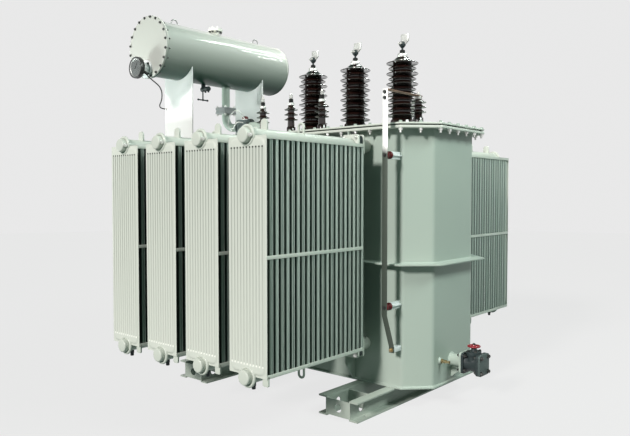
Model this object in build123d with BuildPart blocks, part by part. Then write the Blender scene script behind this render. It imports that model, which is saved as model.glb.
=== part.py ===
"""An oil-filled power transformer with panel radiators, bushings and a conservator, in millimetres.

The origin is on the ground under the middle of the tank. +X points at the end with the drain valve,
-Y at the near bank of radiators, and +Z up.
"""

import os
from math import radians, sqrt, tan

from build123d import *

os.makedirs("parts", exist_ok=True)

# Clearances
seat_gap = 0.3
stem_clearance = 0.08

# Skids: two outward-facing channels each, tied by end plates and cross plates
skid_length = 1730
long_skid_length = 1824
skid_spacing = 1410
skid_height = 130
skid_web_spacing = 200
skid_flange_width = 60
skid_web_thickness = 8
skid_flange_thickness = 11
skid_plate_thickness = 8
skid_cross_plate_inset = 238
skid_end_hole = 57
skid_web_hole_inset = 124
foundation_hole = 22
foundation_row = 1470

# Tank: an eight-sided shell, and the plates welded to it
tank_length = 2130
tank_width = 860
tank_corner = 156.5
tank_wall_height = 1771
tank_wall_thickness = 8
bottom_plate_thickness = 12
bottom_plate_overhang = 13
rim_thickness = 18
rim_overhang = 78
gasket_thickness = 8
gasket_overhang = 66
gasket_width = 50
cover_thickness = 12
band_height = 835
band_thickness = 12
band_overhang = 84
rib_offset = 514
rib_depth = 110
rib_thickness = 10
rib_foot_height = 120
rib_toe = 20

# Radiators: a welded frame of header pipes, outer panel and tie strips, with the inner fins between
radiator_count = 4
radiator_pitch = 406.4
radiator_width = 310
radiator_height = 1369
radiator_bottom = 417
radiator_reach = 1580
fin_pitch = 45
fin_clearance = 40
fin_thickness = 14
fin_seam = 3
fin_rim = 12
fin_field_corner = 42
fin_slope = 55
groove_count = 11
groove_pitch = 25.2
groove_width = 12
groove_depth = 4
groove_inset = 60
strip_height = 22
strip_thickness = 4
header_diameter = 89
header_above_fin_top = 4
header_below_fin_bottom = 9
header_cap_reach = 35
header_cap_chamfer = 10
header_cap_slope = 45
collar_radius = 65
collar_height = 6
collar_slope = 25
pipe_flange_side = 140
pipe_flange_corner = 18
pipe_flange_thickness = 16
stub_length = 110
shutoff_valve_length = 40
shutoff_valve_side = 128
lug_thickness = 12
lug_width = 52
lug_height = 62
lug_hole = 18
lug_inset = 139
ring_width = 58
ring_bar = 15
ring_height = 67
ring_inset = 460
tab_width = 45
tab_height = 46
tab_thickness = 12
tab_corner = 10
tab_hole = 14
plug_radius = 14
plug_length = 38
plug_inset = 52

# High-voltage bushings
hv_spacing = 464
hv_row = 252
hv_flange_radius = 138
hv_flange_thickness = 16
hv_base_radius = 92
hv_base_height = 110
hv_core_radius = 75
hv_shed_radius = 127
hv_small_shed_radius = 111
hv_first_shed = 141
hv_shed_pitch = 82
hv_shed_count = 6
hv_shed_under_rise = 6
hv_shed_top_rise = 24
hv_neck_radius = 45
hv_neck_height = 602
hv_cap_radius = 38
hv_cap_height = 630
hv_sleeve_radius = 21
hv_sleeve_height = 660
hv_stem_radius = 8
hv_clamp_radius = 26
hv_clamp_foot = 676
hv_clamp_shoulder = 694
hv_clamp_height = 722
hv_palm_width = 70
hv_palm_thickness = 12
hv_palm_offset = 23
hv_palm_foot = 704
hv_palm_height = 780
hv_palm_chamfer = 24
hv_palm_hole = 12
hv_palm_hole_pitch = 32

# Low-voltage bushings and the neutral bushing
lv_places = (-637, -314, 15)
lv_row = -200
lv_flange_radius = 60
lv_flange_thickness = 12
lv_base_radius = 36
lv_base_height = 70
lv_core_radius = 26
lv_shed_radius = 56
lv_shed_heights = (128, 168, 209)
lv_neck_radius = 20
lv_neck_height = 246
lv_cap_radius = 26
lv_cap_height = 268
lv_sleeve_radius = 18
lv_sleeve_height = 300
lv_stud_radius = 9
lv_stud_height = 350
small_shed_under_rise = 4
small_shed_top_rise = 16
neutral_place = 890
neutral_shed_heights = (92, 126, 160)
neutral_neck_height = 182
neutral_base_height = 56
neutral_cap_height = 204
neutral_stud_height = 236

# Neutral bar, earthing strip and the insulators that carry it
earth_bar_width = 40
earth_bar_thickness = 5
earth_bar_overrun = 26
neutral_bar_leg = 80
strip_standoff = 174
strip_bend_height = 659
strip_foot_height = 434
strip_foot_standoff = 88
strip_foot_length = 40
insulator_radius = 26
insulator_waist_radius = 19
insulator_length = 58
insulator_heights = (711, 1713)
bracket_width = 36
bracket_thickness = 8
earth_boss_side = 34

# Gauge cable's bends: how far each lies from the conservator's axis, what share of the way it is from
# the gauge's gland to the clip on the near support, and how far it hangs below the axis
cable_bends = (42.8, 84.9, 115, 105, 55, -11, -83, -151, -177, -177)
cable_way_shares = (0, 0, 0.083, 0.249, 0.42, 0.569, 0.696, 0.762, 0.873, 1)
cable_drops = (239.1, 274.5, 310, 338, 366, 396, 432, 468, 486, 486)

# Conservator, its supports and fittings
conservator_offset = 1473
conservator_height = 2724
conservator_length = 1500
conservator_diameter = 483
conservator_wall = 6
end_flange_diameter = 536
end_flange_thickness = 12
end_cover_thickness = 14
far_end_thickness = 10
far_end_crown = 46
support_width = 390
support_thickness = 12
support_foot = 1400
support_shoulder = 1790
support_arm_top = 1860
support_lap = 780
filler_place = 0
filler_neck_radius = 38
filler_neck_height = 30
filler_flange_radius = 68
filler_flange_thickness = 12
filler_cover_thickness = 10
eye_places = (-480, 525)
eye_radius = 34
eye_bar = 6
gauge_offset = -17
gauge_drop = 189
gauge_base_radius = 78
gauge_base_thickness = 14
gauge_neck_radius = 50
gauge_neck_length = 62
gauge_body_radius = 92
gauge_body_length = 44
gauge_glass_recess = 6
gauge_glass_radius = 80
cable_diameter = 10
cable_gland_radius = 11
cable_gland_reach = 77.7
cable_gland_turn = 40
cable_gland_standoff = 38
cable_clip_length = 11.7
cable_run_share = 0.45

# Oil pipe from the conservator to the cover, with its shut-off valve and gas relay
oil_pipe_place = 128
oil_pipe_diameter = 76
oil_pipe_drop = 634
oil_pipe_bend = 110
oil_pipe_landing = 985
oil_valve_drop = 494
oil_valve_length = 58
oil_valve_side = 150
oil_valve_waist = 55
oil_flange_thickness = 18
relay_place = 1201
relay_length = 150
relay_side = 120
relay_flange_radius = 70
relay_flange_thickness = 14
relay_dome_radius = 40
relay_dome_height = 40
landing_flange_radius = 80
landing_flange_thickness = 16

# Drain cock under the conservator
cock_place = -150
cock_neck_radius = 16
cock_neck_length = 44
cock_body_radius = 26
cock_body_length = 48
cock_spout_radius = 13
cock_spout_length = 60
cock_handle_length = 120
cock_handle_radius = 7
cock_stem_length = 52

# Pressure relief valve on the cover
relief_offset = 860
relief_row = -110
relief_flange_radius = 92
relief_flange_thickness = 16
relief_body_radius = 74
relief_body_height = 88
relief_crown_radius = 40
relief_crown_height = 118

# Drain valve and sampling cock on the end wall
drain_row = -20
drain_height = 285
drain_pipe_diameter = 89
drain_stub_length = 95
drain_flange_side = 145
drain_flange_corner = 20
drain_flange_thickness = 15
drain_body_length = 96
drain_body_radius = 58
drain_bonnet_width = 112
drain_bonnet_depth = 76
drain_bonnet_height = 82
drain_lip_overhang = 9
drain_lip_thickness = 24
drain_gland_radius = 20
drain_gland_height = 102
drain_cover_thickness = 17
drain_gusset_thickness = 10
drain_gusset_depth = 80
wheel_radius = 46
wheel_rim_radius = 6
wheel_hub_radius = 13
wheel_hub_height = 22
wheel_spoke_width = 9
wheel_spoke_thickness = 6
wheel_spoke_count = 5
wheel_height = 118
stem_radius = 8
stem_depth = 30
sampler_row = -183
sampler_height = 305
sampler_boss_radius = 20
sampler_boss_length = 14
sampler_body_radius = 14
sampler_body_length = 62

# Levels and places that follow from the sizes above
wall_foot = skid_height + bottom_plate_thickness
rim_top = wall_foot + tank_wall_height
cover_foot = rim_top + gasket_thickness
cover_top = cover_foot + cover_thickness
band_foot = wall_foot + band_height
long_wall = tank_width / 2
end_wall = tank_length / 2
header_radius = header_diameter / 2
radiator_top = radiator_bottom + radiator_height
top_header = radiator_top + header_above_fin_top
bottom_header = radiator_bottom - header_below_fin_bottom
header_levels = (bottom_header, top_header)
stub_face = long_wall + stub_length
valve_face = stub_face + pipe_flange_thickness
header_face = valve_face + shutoff_valve_length
panel_back = radiator_reach - fin_thickness
fin_room = panel_back - header_face - pipe_flange_thickness - fin_clearance
fin_count = int(fin_room / fin_pitch) + 1
fin_rise = (fin_thickness - fin_seam) / 2
radiator_places = [(i - (radiator_count - 1) / 2) * radiator_pitch for i in range(radiator_count)]
sides = {"near": -1, "far": 1}
conservator_radius = conservator_diameter / 2
conservator_end = conservator_length / 2
cover_face = conservator_end + end_cover_thickness
cable_gland_place = cover_face + gauge_base_thickness + cable_gland_standoff
clip_face = long_wall + support_thickness + cable_clip_length
clip_place = cable_bends[-1] - conservator_offset
clip_height = conservator_height - cable_drops[-1]


def save(piece, name):
    """Labels a finished piece and writes its STEP file."""
    piece.part.label = name
    export_step(piece.part, f"parts/{name}.step")


def octagon(overhang):
    """Draws the tank's eight-sided outline, grown all round by an overhang."""
    leg = tank_corner + overhang * (2 - sqrt(2))
    x = end_wall + overhang
    y = long_wall + overhang
    Polygon(
        (x, leg - y), (x, y - leg), (x - leg, y), (leg - x, y),
        (-x, y - leg), (-x, leg - y), (leg - x, -y), (x - leg, -y),
        align=None,
    )


def outward(side, x, y, z):
    """Returns a plane that faces away from the tank's long wall on one side, with its own Y axis up."""
    return Plane((x, side * y, z), x_dir=(-side, 0, 0), z_dir=(0, side, 0))


def upright(x, y, z):
    """Returns a vertical plane through a point, for profiles of radius and height."""
    return Plane((x, y, z), x_dir=(1, 0, 0), z_dir=(0, -1, 0))


def turn(points, x, y, z):
    """Adds a solid turned about the vertical line through a point, from (radius, height) points."""
    with BuildSketch(upright(x, y, z)) as profile:
        Polygon(*points, align=None)
    revolve(profile.sketch, axis=Axis((x, y, z), (0, 0, 1)))


def shed_outline(base, core, sheds, rises, neck):
    """Returns the (radius, height) outline of a shedded insulator.

    base and neck are (radius, height) pairs, sheds a list of (radius, height) of the rims, and rises
    how far each shed's underside and top climb from its rim to the core.
    """
    points = [(0, 0), (base[0], 0), base, (core, base[1])]
    for radius, height in sheds:
        points += [(core, height + rises[0]), (radius, height), (core, height + rises[1])]
    return points + [neck, (0, neck[1])]


def rounded_square(side, corner):
    """Draws a square flange outline with rounded corners."""
    RectangleRounded(side, side, corner)


def make_skid(name, centre, length):
    """A skid: two channels back to back, tied by plates, with foundation holes in the outer flange."""
    half_web = skid_web_spacing / 2
    outer = 1 if centre > 0 else -1
    bolt_place = centre + outer * (half_web + skid_flange_width / 2)
    clear_height = skid_height - 2 * skid_flange_thickness
    mid_height = skid_height / 2
    with BuildPart() as skid:
        with BuildSketch(Plane.XZ.offset(-length / 2)):
            for hand in (-1, 1):
                with Locations((centre + hand * (half_web - skid_web_thickness / 2), mid_height)):
                    Rectangle(skid_web_thickness, skid_height)
                for level in (skid_flange_thickness / 2, skid_height - skid_flange_thickness / 2):
                    with Locations((centre + hand * (half_web + skid_flange_width / 2), level)):
                        Rectangle(skid_flange_width, skid_flange_thickness)
        extrude(amount=length)
        plate_width = skid_web_spacing - 2 * skid_web_thickness
        ends = length / 2 - skid_plate_thickness / 2
        cross = length / 2 - skid_cross_plate_inset
        for y in (-ends, -cross, cross, ends):
            with Locations((centre, y, mid_height)):
                Box(plate_width, skid_plate_thickness, clear_height)
        holes = length / 2 - skid_web_hole_inset
        with BuildSketch(Plane.YZ.offset(centre - half_web)):
            with Locations((-holes, mid_height), (holes, mid_height)):
                Circle(skid_end_hole / 2)
        extrude(amount=skid_web_spacing, mode=Mode.SUBTRACT)
        with BuildSketch(Plane.XZ.offset(-length / 2)):
            with Locations((centre, mid_height)):
                Circle(skid_end_hole / 2)
        extrude(amount=skid_plate_thickness, mode=Mode.SUBTRACT)
        with BuildSketch(Plane.XZ.offset(length / 2)):
            with Locations((centre, mid_height)):
                Circle(skid_end_hole / 2)
        extrude(amount=-skid_plate_thickness, mode=Mode.SUBTRACT)
        with BuildSketch():
            with Locations((bolt_place, -foundation_row / 2), (bolt_place, foundation_row / 2)):
                Circle(foundation_hole / 2)
        extrude(amount=skid_flange_thickness, mode=Mode.SUBTRACT)
    save(skid, name)


make_skid("skid_drain_end", skid_spacing / 2, skid_length)
make_skid("skid_conservator_end", -skid_spacing / 2, long_skid_length)

# Bottom plate, on the skids
with BuildPart() as bottom_plate:
    with BuildSketch(Plane.XY.offset(skid_height)):
        octagon(bottom_plate_overhang)
    extrude(amount=bottom_plate_thickness)
save(bottom_plate, "tank_bottom_plate")

# Tank wall, an open shell on the bottom plate
with BuildPart() as tank_wall:
    with BuildSketch(Plane.XY.offset(wall_foot)):
        octagon(0)
        with BuildSketch(mode=Mode.SUBTRACT):
            octagon(-tank_wall_thickness)
    extrude(amount=tank_wall_height)
save(tank_wall, "tank_wall")

# Rim flange round the wall's top
with BuildPart() as tank_rim:
    with BuildSketch(Plane.XY.offset(rim_top - rim_thickness)):
        octagon(rim_overhang)
        with BuildSketch(mode=Mode.SUBTRACT):
            octagon(0)
    extrude(amount=rim_thickness)
save(tank_rim, "tank_rim")

# Gasket between rim and cover
with BuildPart() as gasket:
    with BuildSketch(Plane.XY.offset(rim_top)):
        octagon(gasket_overhang)
        with BuildSketch(mode=Mode.SUBTRACT):
            octagon(gasket_overhang - gasket_width)
    extrude(amount=gasket_thickness)
save(gasket, "cover_gasket")

# Cover plate
with BuildPart() as cover:
    with BuildSketch(Plane.XY.offset(cover_foot)):
        octagon(rim_overhang)
    extrude(amount=cover_thickness)
save(cover, "tank_cover")

# Stiffener band half way up the wall
with BuildPart() as band:
    with BuildSketch(Plane.XY.offset(band_foot)):
        octagon(band_overhang)
        with BuildSketch(mode=Mode.SUBTRACT):
            octagon(0)
    extrude(amount=band_thickness)
save(band, "stiffener_band")

# Upright ribs on the long walls, below and above the band
with BuildPart() as ribs:
    rib_reach = long_wall + rib_depth
    rib_rise = wall_foot + rib_foot_height
    rim_foot = rim_top - rim_thickness
    for side in sides.values():
        for place in (-rib_offset, rib_offset):
            with BuildSketch(Plane.YZ.offset(place - rib_thickness / 2)):
                Polygon(
                    (side * long_wall, wall_foot),
                    (side * (long_wall + rib_toe), wall_foot),
                    (side * rib_reach, rib_rise),
                    (side * rib_reach, band_foot),
                    (side * long_wall, band_foot),
                    align=None,
                )
                Polygon(
                    (side * long_wall, band_foot + band_thickness),
                    (side * (long_wall + band_overhang), band_foot + band_thickness),
                    (side * (long_wall + band_overhang), rim_foot),
                    (side * long_wall, rim_foot),
                    align=None,
                )
            extrude(amount=rib_thickness)
save(ribs, "wall_ribs")


def make_stubs(name, side):
    """Pipe stubs with square flanges, welded to one long wall, two for each radiator."""
    with BuildPart() as stubs:
        for level in header_levels:
            for place in radiator_places:
                with BuildSketch(outward(side, place, long_wall, level)):
                    Circle(header_radius)
                extrude(amount=stub_length)
                with BuildSketch(outward(side, place, stub_face, level)):
                    rounded_square(pipe_flange_side, pipe_flange_corner)
                extrude(amount=pipe_flange_thickness)
    save(stubs, name)


def make_shutoff_valves(name, side):
    """Flat butterfly valves between the stubs and the radiators of one side."""
    with BuildPart() as valves:
        planes = [outward(side, x, valve_face, z) for z in header_levels for x in radiator_places]
        with BuildSketch(*planes):
            rounded_square(shutoff_valve_side, pipe_flange_corner)
        extrude(amount=shutoff_valve_length)
    save(valves, name)


def press_panels(backs, width, ease):
    """Adds pressed sheet pairs: a flat seam all round, and a raised field on each face."""
    middle = radiator_bottom + radiator_height / 2
    with BuildSketch(*[outward(1, 0, back + fin_rise, middle) for back in backs]) as seams:
        Rectangle(width, radiator_height)
    extrude(seams.sketch, amount=fin_seam)
    for start, way in ((fin_rise + fin_seam, 1), (fin_rise, -1)):
        places = [(0, back + start, middle) for back in backs]
        with BuildSketch(*[Plane(at, x_dir=(1, 0, 0), z_dir=(0, way, 0)) for at in places]) as fields:
            Rectangle(width - 2 * fin_rim, radiator_height - 2 * fin_rim)
            ease(fields.vertices(), fin_field_corner)
        extrude(fields.sketch, amount=fin_rise, taper=fin_slope)


def make_radiator():
    """Returns one radiator: header pipes, panel and tie strips in one welding, and the fins inside it."""
    header_length = radiator_reach + header_cap_reach - header_cap_chamfer - header_face
    strip_length = (fin_count - 1) * fin_pitch
    strip_place = (radiator_width - strip_thickness) / 2
    strip_levels = (
        radiator_bottom + strip_height / 2,
        radiator_bottom + radiator_height / 2,
        radiator_top - strip_height / 2,
    )
    lug_eye = top_header + header_radius + lug_height - lug_width / 2
    ring_eye = header_radius + ring_height - ring_width / 2
    ring_opening = ring_width / 2 - ring_bar
    tab_place = (radiator_width - tab_width) / 2
    groove_span = (groove_count - 1) * groove_pitch
    grooves = [(i * groove_pitch - groove_span / 2, 0) for i in range(groove_count)]
    with BuildPart() as radiator:
        fin_backs = [panel_back - i * fin_pitch for i in range(1, fin_count)]
        press_panels(fin_backs, radiator_width - 2 * (strip_thickness + seat_gap), chamfer)
        for level in header_levels:
            with BuildSketch(outward(1, 0, header_face, level)):
                Circle(header_radius + seat_gap)
            extrude(amount=panel_back - header_face, mode=Mode.SUBTRACT)
        press_panels([panel_back], radiator_width, fillet)
        with BuildSketch(outward(1, 0, radiator_reach, radiator_bottom + radiator_height / 2)):
            with Locations(*grooves):
                SlotOverall(radiator_height - 2 * groove_inset, groove_width, rotation=90)
        extrude(amount=-groove_depth, mode=Mode.SUBTRACT)
        for level in header_levels:
            with BuildSketch(outward(1, 0, header_face, level)):
                Circle(header_radius)
            extrude(amount=header_length)
            with BuildSketch(outward(1, 0, header_face + header_length, level)):
                Circle(header_radius)
            extrude(amount=header_cap_chamfer, taper=header_cap_slope)
            with BuildSketch(outward(1, 0, panel_back + fin_thickness / 2, level)):
                Circle(collar_radius)
            extrude(amount=fin_thickness / 2 + collar_height, taper=collar_slope)
            with BuildSketch(outward(1, 0, header_face, level)):
                rounded_square(pipe_flange_side, pipe_flange_corner)
            extrude(amount=pipe_flange_thickness)
        with BuildSketch(outward(1, 0, panel_back - strip_length, 0)):
            for level in strip_levels:
                with Locations((-strip_place, level), (strip_place, level)):
                    Rectangle(strip_thickness, strip_height)
        extrude(amount=strip_length + fin_rise)
        with BuildSketch(outward(1, 0, radiator_reach - lug_inset, 0)):
            with Locations((0, (top_header + lug_eye) / 2)):
                Rectangle(lug_width, lug_eye - top_header)
            with Locations((0, lug_eye)):
                Circle(lug_width / 2)
                Circle(lug_hole / 2, mode=Mode.SUBTRACT)
        extrude(amount=-lug_thickness)
        for level, way in ((top_header, 1), (bottom_header, -1)):
            with BuildSketch(outward(1, 0, radiator_reach - ring_inset, level)):
                with Locations((0, way * ring_eye / 2)):
                    Rectangle(ring_width, ring_eye)
                with Locations((0, way * ring_eye)):
                    Circle(ring_width / 2)
                    Circle(ring_opening, mode=Mode.SUBTRACT)
                with Locations((0, way * (header_radius + ring_eye) / 2)):
                    Rectangle(2 * ring_opening, ring_eye - header_radius, mode=Mode.SUBTRACT)
            extrude(amount=-ring_bar)
        with BuildSketch(outward(1, 0, panel_back, 0)):
            with Locations((tab_place, radiator_bottom + (strip_height - tab_height) / 2)):
                RectangleRounded(tab_width, tab_height + strip_height, tab_corner)
            with Locations((tab_place, radiator_bottom - tab_height / 2)):
                Circle(tab_hole / 2, mode=Mode.SUBTRACT)
        extrude(amount=-tab_thickness)
        with BuildSketch(Plane.XY.offset(bottom_header)):
            with Locations((0, radiator_reach - plug_inset)):
                Circle(plug_radius)
        extrude(amount=-header_radius - plug_length)
    return radiator.part


radiator_unit = make_radiator()
for side_name, side in sides.items():
    make_stubs(f"radiator_stubs_{side_name}", side)
    make_shutoff_valves(f"radiator_valves_{side_name}", side)
    for number, place in enumerate(reversed(radiator_places), start=1):
        with BuildPart() as radiator:
            with Locations(Location((place, 0, 0), (0, 0, 180 if side < 0 else 0))):
                add(radiator_unit)
        save(radiator, f"radiator_{side_name}_{number}")

# High-voltage bushings: mounting flanges, porcelain and terminals
hv_places = (-hv_spacing, 0, hv_spacing)
with BuildPart() as hv_flanges:
    with BuildSketch(Plane.XY.offset(cover_top)):
        with Locations(*[(x, hv_row) for x in hv_places]):
            Circle(hv_flange_radius)
    extrude(amount=hv_flange_thickness)
save(hv_flanges, "hv_flanges")

hv_sheds = []
for i in range(hv_shed_count):
    hv_sheds.append((hv_shed_radius, hv_first_shed + i * hv_shed_pitch - hv_flange_thickness))
    if i < hv_shed_count - 1:
        between = hv_first_shed + (i + 1 / 2) * hv_shed_pitch - hv_flange_thickness
        hv_sheds.append((hv_small_shed_radius, between))
hv_porcelain_outline = shed_outline(
    (hv_base_radius, hv_base_height - hv_flange_thickness),
    hv_core_radius,
    hv_sheds,
    (hv_shed_under_rise, hv_shed_top_rise),
    (hv_neck_radius, hv_neck_height - hv_flange_thickness),
)
with BuildPart() as hv_porcelain:
    for x in hv_places:
        turn(hv_porcelain_outline, x, hv_row, cover_top + hv_flange_thickness)
save(hv_porcelain, "hv_porcelain")

hv_terminal_outline = [
    (0, hv_neck_height),
    (hv_cap_radius, hv_neck_height),
    (hv_cap_radius, hv_cap_height),
    (hv_sleeve_radius, hv_cap_height),
    (hv_sleeve_radius, hv_sleeve_height),
    (hv_stem_radius, hv_sleeve_height),
    (hv_stem_radius, hv_clamp_foot),
    (hv_clamp_radius, hv_clamp_shoulder),
    (hv_clamp_radius, hv_clamp_height),
    (0, hv_clamp_height),
]
with BuildPart() as hv_terminals:
    palm_foot = cover_top + hv_palm_foot
    palm_top = cover_top + hv_palm_height
    for x in hv_places:
        turn(hv_terminal_outline, x, hv_row, cover_top)
        inner = x + hv_palm_offset - hv_palm_width / 2
        outer = x + hv_palm_offset + hv_palm_width / 2
        with BuildSketch(Plane.XZ.offset(-hv_row - hv_palm_thickness / 2)):
            Polygon(
                (inner, palm_foot), (outer - hv_palm_chamfer, palm_foot),
                (outer, palm_foot + hv_palm_chamfer), (outer, palm_top), (inner, palm_top),
                align=None,
            )
            with Locations((x + hv_palm_offset, palm_top - hv_palm_width / 2)):
                with GridLocations(hv_palm_hole_pitch, hv_palm_hole_pitch, 2, 2):
                    Circle(hv_palm_hole / 2, mode=Mode.SUBTRACT)
        extrude(amount=hv_palm_thickness)
save(hv_terminals, "hv_terminals")

# Low-voltage bushings and the neutral bushing
with BuildPart() as lv_flanges:
    with BuildSketch(Plane.XY.offset(cover_top)):
        with Locations(*[(x, lv_row) for x in (*lv_places, neutral_place)]):
            Circle(lv_flange_radius)
    extrude(amount=lv_flange_thickness)
save(lv_flanges, "lv_flanges")


def small_porcelain(base_height, shed_heights, neck_height):
    """Returns the outline of a low-voltage porcelain, from its flange up."""
    return shed_outline(
        (lv_base_radius, base_height - lv_flange_thickness),
        lv_core_radius,
        [(lv_shed_radius, height - lv_flange_thickness) for height in shed_heights],
        (small_shed_under_rise, small_shed_top_rise),
        (lv_neck_radius, neck_height - lv_flange_thickness),
    )


def small_terminal(neck_height, cap_height, sleeve_height, stud_height):
    """Returns the outline of a low-voltage terminal: a cap, a sleeve and a stud."""
    return [
        (0, neck_height),
        (lv_cap_radius, neck_height),
        (lv_cap_radius, cap_height),
        (lv_sleeve_radius, cap_height),
        (lv_sleeve_radius, sleeve_height),
        (lv_stud_radius, sleeve_height),
        (lv_stud_radius, stud_height),
        (0, stud_height),
    ]


with BuildPart() as lv_porcelain:
    for x in lv_places:
        outline = small_porcelain(lv_base_height, lv_shed_heights, lv_neck_height)
        turn(outline, x, lv_row, cover_top + lv_flange_thickness)
save(lv_porcelain, "lv_porcelain")

with BuildPart() as lv_terminals:
    for x in lv_places:
        outline = small_terminal(lv_neck_height, lv_cap_height, lv_sleeve_height, lv_stud_height)
        turn(outline, x, lv_row, cover_top)
save(lv_terminals, "lv_terminals")

with BuildPart() as neutral_porcelain:
    outline = small_porcelain(neutral_base_height, neutral_shed_heights, neutral_neck_height)
    turn(outline, neutral_place, lv_row, cover_top + lv_flange_thickness)
save(neutral_porcelain, "neutral_porcelain")

with BuildPart() as neutral_terminal:
    outline = [
        (0, neutral_neck_height),
        (lv_cap_radius, neutral_neck_height),
        (lv_cap_radius, neutral_cap_height),
        (lv_stud_radius, neutral_cap_height),
        (lv_stud_radius, neutral_stud_height),
        (0, neutral_stud_height),
    ]
    turn(outline, neutral_place, lv_row, cover_top)
save(neutral_terminal, "neutral_terminal")

# Neutral bar: a flat bar from the neutral terminal, turned down behind the earthing strip
strip_back = -long_wall - strip_standoff
strip_front = strip_back - earth_bar_thickness
bar_foot = cover_top + neutral_cap_height
bar_top = bar_foot + earth_bar_thickness
bar_end = lv_row + earth_bar_overrun
half_bar = earth_bar_width / 2
with BuildPart() as neutral_bar:
    with BuildSketch(Plane.YZ.offset(neutral_place - half_bar)):
        leg_front = strip_back + earth_bar_thickness
        Polygon(
            (bar_end, bar_top), (bar_end, bar_foot), (leg_front, bar_foot),
            (leg_front, bar_top - neutral_bar_leg), (strip_back, bar_top - neutral_bar_leg),
            (strip_back, bar_top),
            align=None,
        )
    extrude(amount=earth_bar_width)
    with BuildSketch(Plane.XY.offset(bar_foot)):
        with Locations((neutral_place, lv_row)):
            Circle(lv_stud_radius + seat_gap)
    extrude(amount=earth_bar_thickness, mode=Mode.SUBTRACT)
save(neutral_bar, "neutral_bar")

# Earthing strip: straight down past the tank, then in to its boss on the wall
foot_back = -long_wall - strip_foot_standoff
foot_front = foot_back - earth_bar_thickness
with BuildPart() as earthing_strip:
    with BuildSketch(Plane.YZ.offset(neutral_place - half_bar)):
        Polygon(
            (strip_back, bar_top), (strip_back, strip_bend_height), (foot_back, strip_foot_height),
            (foot_back, strip_foot_height - strip_foot_length),
            (foot_front, strip_foot_height - strip_foot_length),
            (foot_front, strip_foot_height), (strip_front, strip_bend_height), (strip_front, bar_top),
            align=None,
        )
    extrude(amount=earth_bar_width)
save(earthing_strip, "earthing_strip")

# Post insulators behind the strip, and the brackets and boss on the wall
bracket_reach = strip_standoff - insulator_length
insulator_end = long_wall + bracket_reach
with BuildPart() as strip_insulators:
    for height in insulator_heights:
        for start, length, radius in (
            (0, insulator_length / 3, insulator_radius),
            (insulator_length / 3, insulator_length / 3, insulator_waist_radius),
            (2 * insulator_length / 3, insulator_length / 3, insulator_radius),
        ):
            with BuildSketch(outward(-1, neutral_place, insulator_end + start, height)):
                Circle(radius)
            extrude(amount=length)
save(strip_insulators, "strip_insulators")

with BuildPart() as strip_brackets:
    for height in insulator_heights:
        with BuildSketch(outward(-1, neutral_place, long_wall, height)):
            Rectangle(bracket_width, bracket_thickness)
        extrude(amount=bracket_reach)
        with BuildSketch(outward(-1, neutral_place, insulator_end, height)):
            Rectangle(bracket_width, bracket_width)
        extrude(amount=-bracket_thickness)
    boss_height = strip_foot_height - strip_foot_length / 2
    with BuildSketch(outward(-1, neutral_place, long_wall, boss_height)):
        Rectangle(earth_boss_side, earth_boss_side)
    extrude(amount=strip_foot_standoff)
save(strip_brackets, "strip_brackets")

# Conservator: a horizontal shell with a bolted cover at the near end and a dished far end
with BuildPart() as conservator_shell:
    with BuildSketch(Plane.XZ.offset(conservator_end)):
        with Locations((-conservator_offset, conservator_height)):
            Circle(conservator_radius)
            Circle(conservator_radius - conservator_wall, mode=Mode.SUBTRACT)
    extrude(amount=-conservator_length)
    with BuildSketch(Plane.XZ.offset(conservator_end)):
        with Locations((-conservator_offset, conservator_height)):
            Circle(end_flange_diameter / 2)
            Circle(conservator_radius - conservator_wall, mode=Mode.SUBTRACT)
    extrude(amount=-end_flange_thickness)
save(conservator_shell, "conservator_shell")

with BuildPart() as conservator_cover:
    with BuildSketch(Plane.XZ.offset(conservator_end)):
        with Locations((-conservator_offset, conservator_height)):
            Circle(end_flange_diameter / 2)
    extrude(amount=end_cover_thickness)
save(conservator_cover, "conservator_cover")

with BuildPart() as conservator_far_end:
    axis_point = (-conservator_offset, conservator_end, conservator_height)
    with BuildSketch(Plane(axis_point, x_dir=(1, 0, 0), z_dir=(0, 0, 1))):
        with BuildLine():
            Line((0, 0), (conservator_radius, 0))
            Line((conservator_radius, 0), (conservator_radius, far_end_thickness))
            crown = (0, far_end_thickness + far_end_crown)
            TangentArc(crown, (conservator_radius, far_end_thickness), tangent=(1, 0))
            Line(crown, (0, 0))
        make_face()
    revolve(axis=Axis(axis_point, (0, 1, 0)))
save(conservator_far_end, "conservator_far_end")


def make_support(name, side):
    """A support plate lapped on the long wall, reaching out and up to a saddle under the conservator."""
    inner = -conservator_offset + support_width / 2
    outer = -conservator_offset - support_width / 2
    with BuildPart() as support:
        with BuildSketch(Plane.XZ.offset(-side * long_wall)):
            Polygon(
                (-support_lap, support_foot), (-support_lap, support_arm_top),
                (inner, support_arm_top), (inner, conservator_height - conservator_radius / 2),
                (outer, conservator_height - conservator_radius / 2), (outer, support_shoulder),
                (inner, support_foot),
                align=None,
            )
            with Locations((-conservator_offset, conservator_height)):
                Circle(conservator_radius + seat_gap, mode=Mode.SUBTRACT)
        extrude(amount=-side * support_thickness)
        if side < 0:
            with BuildSketch(outward(side, clip_place, long_wall + support_thickness, clip_height)):
                Circle(cable_gland_radius)
            extrude(amount=cable_clip_length)
    save(support, name)


make_support("conservator_support_near", -1)
make_support("conservator_support_far", 1)

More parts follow.
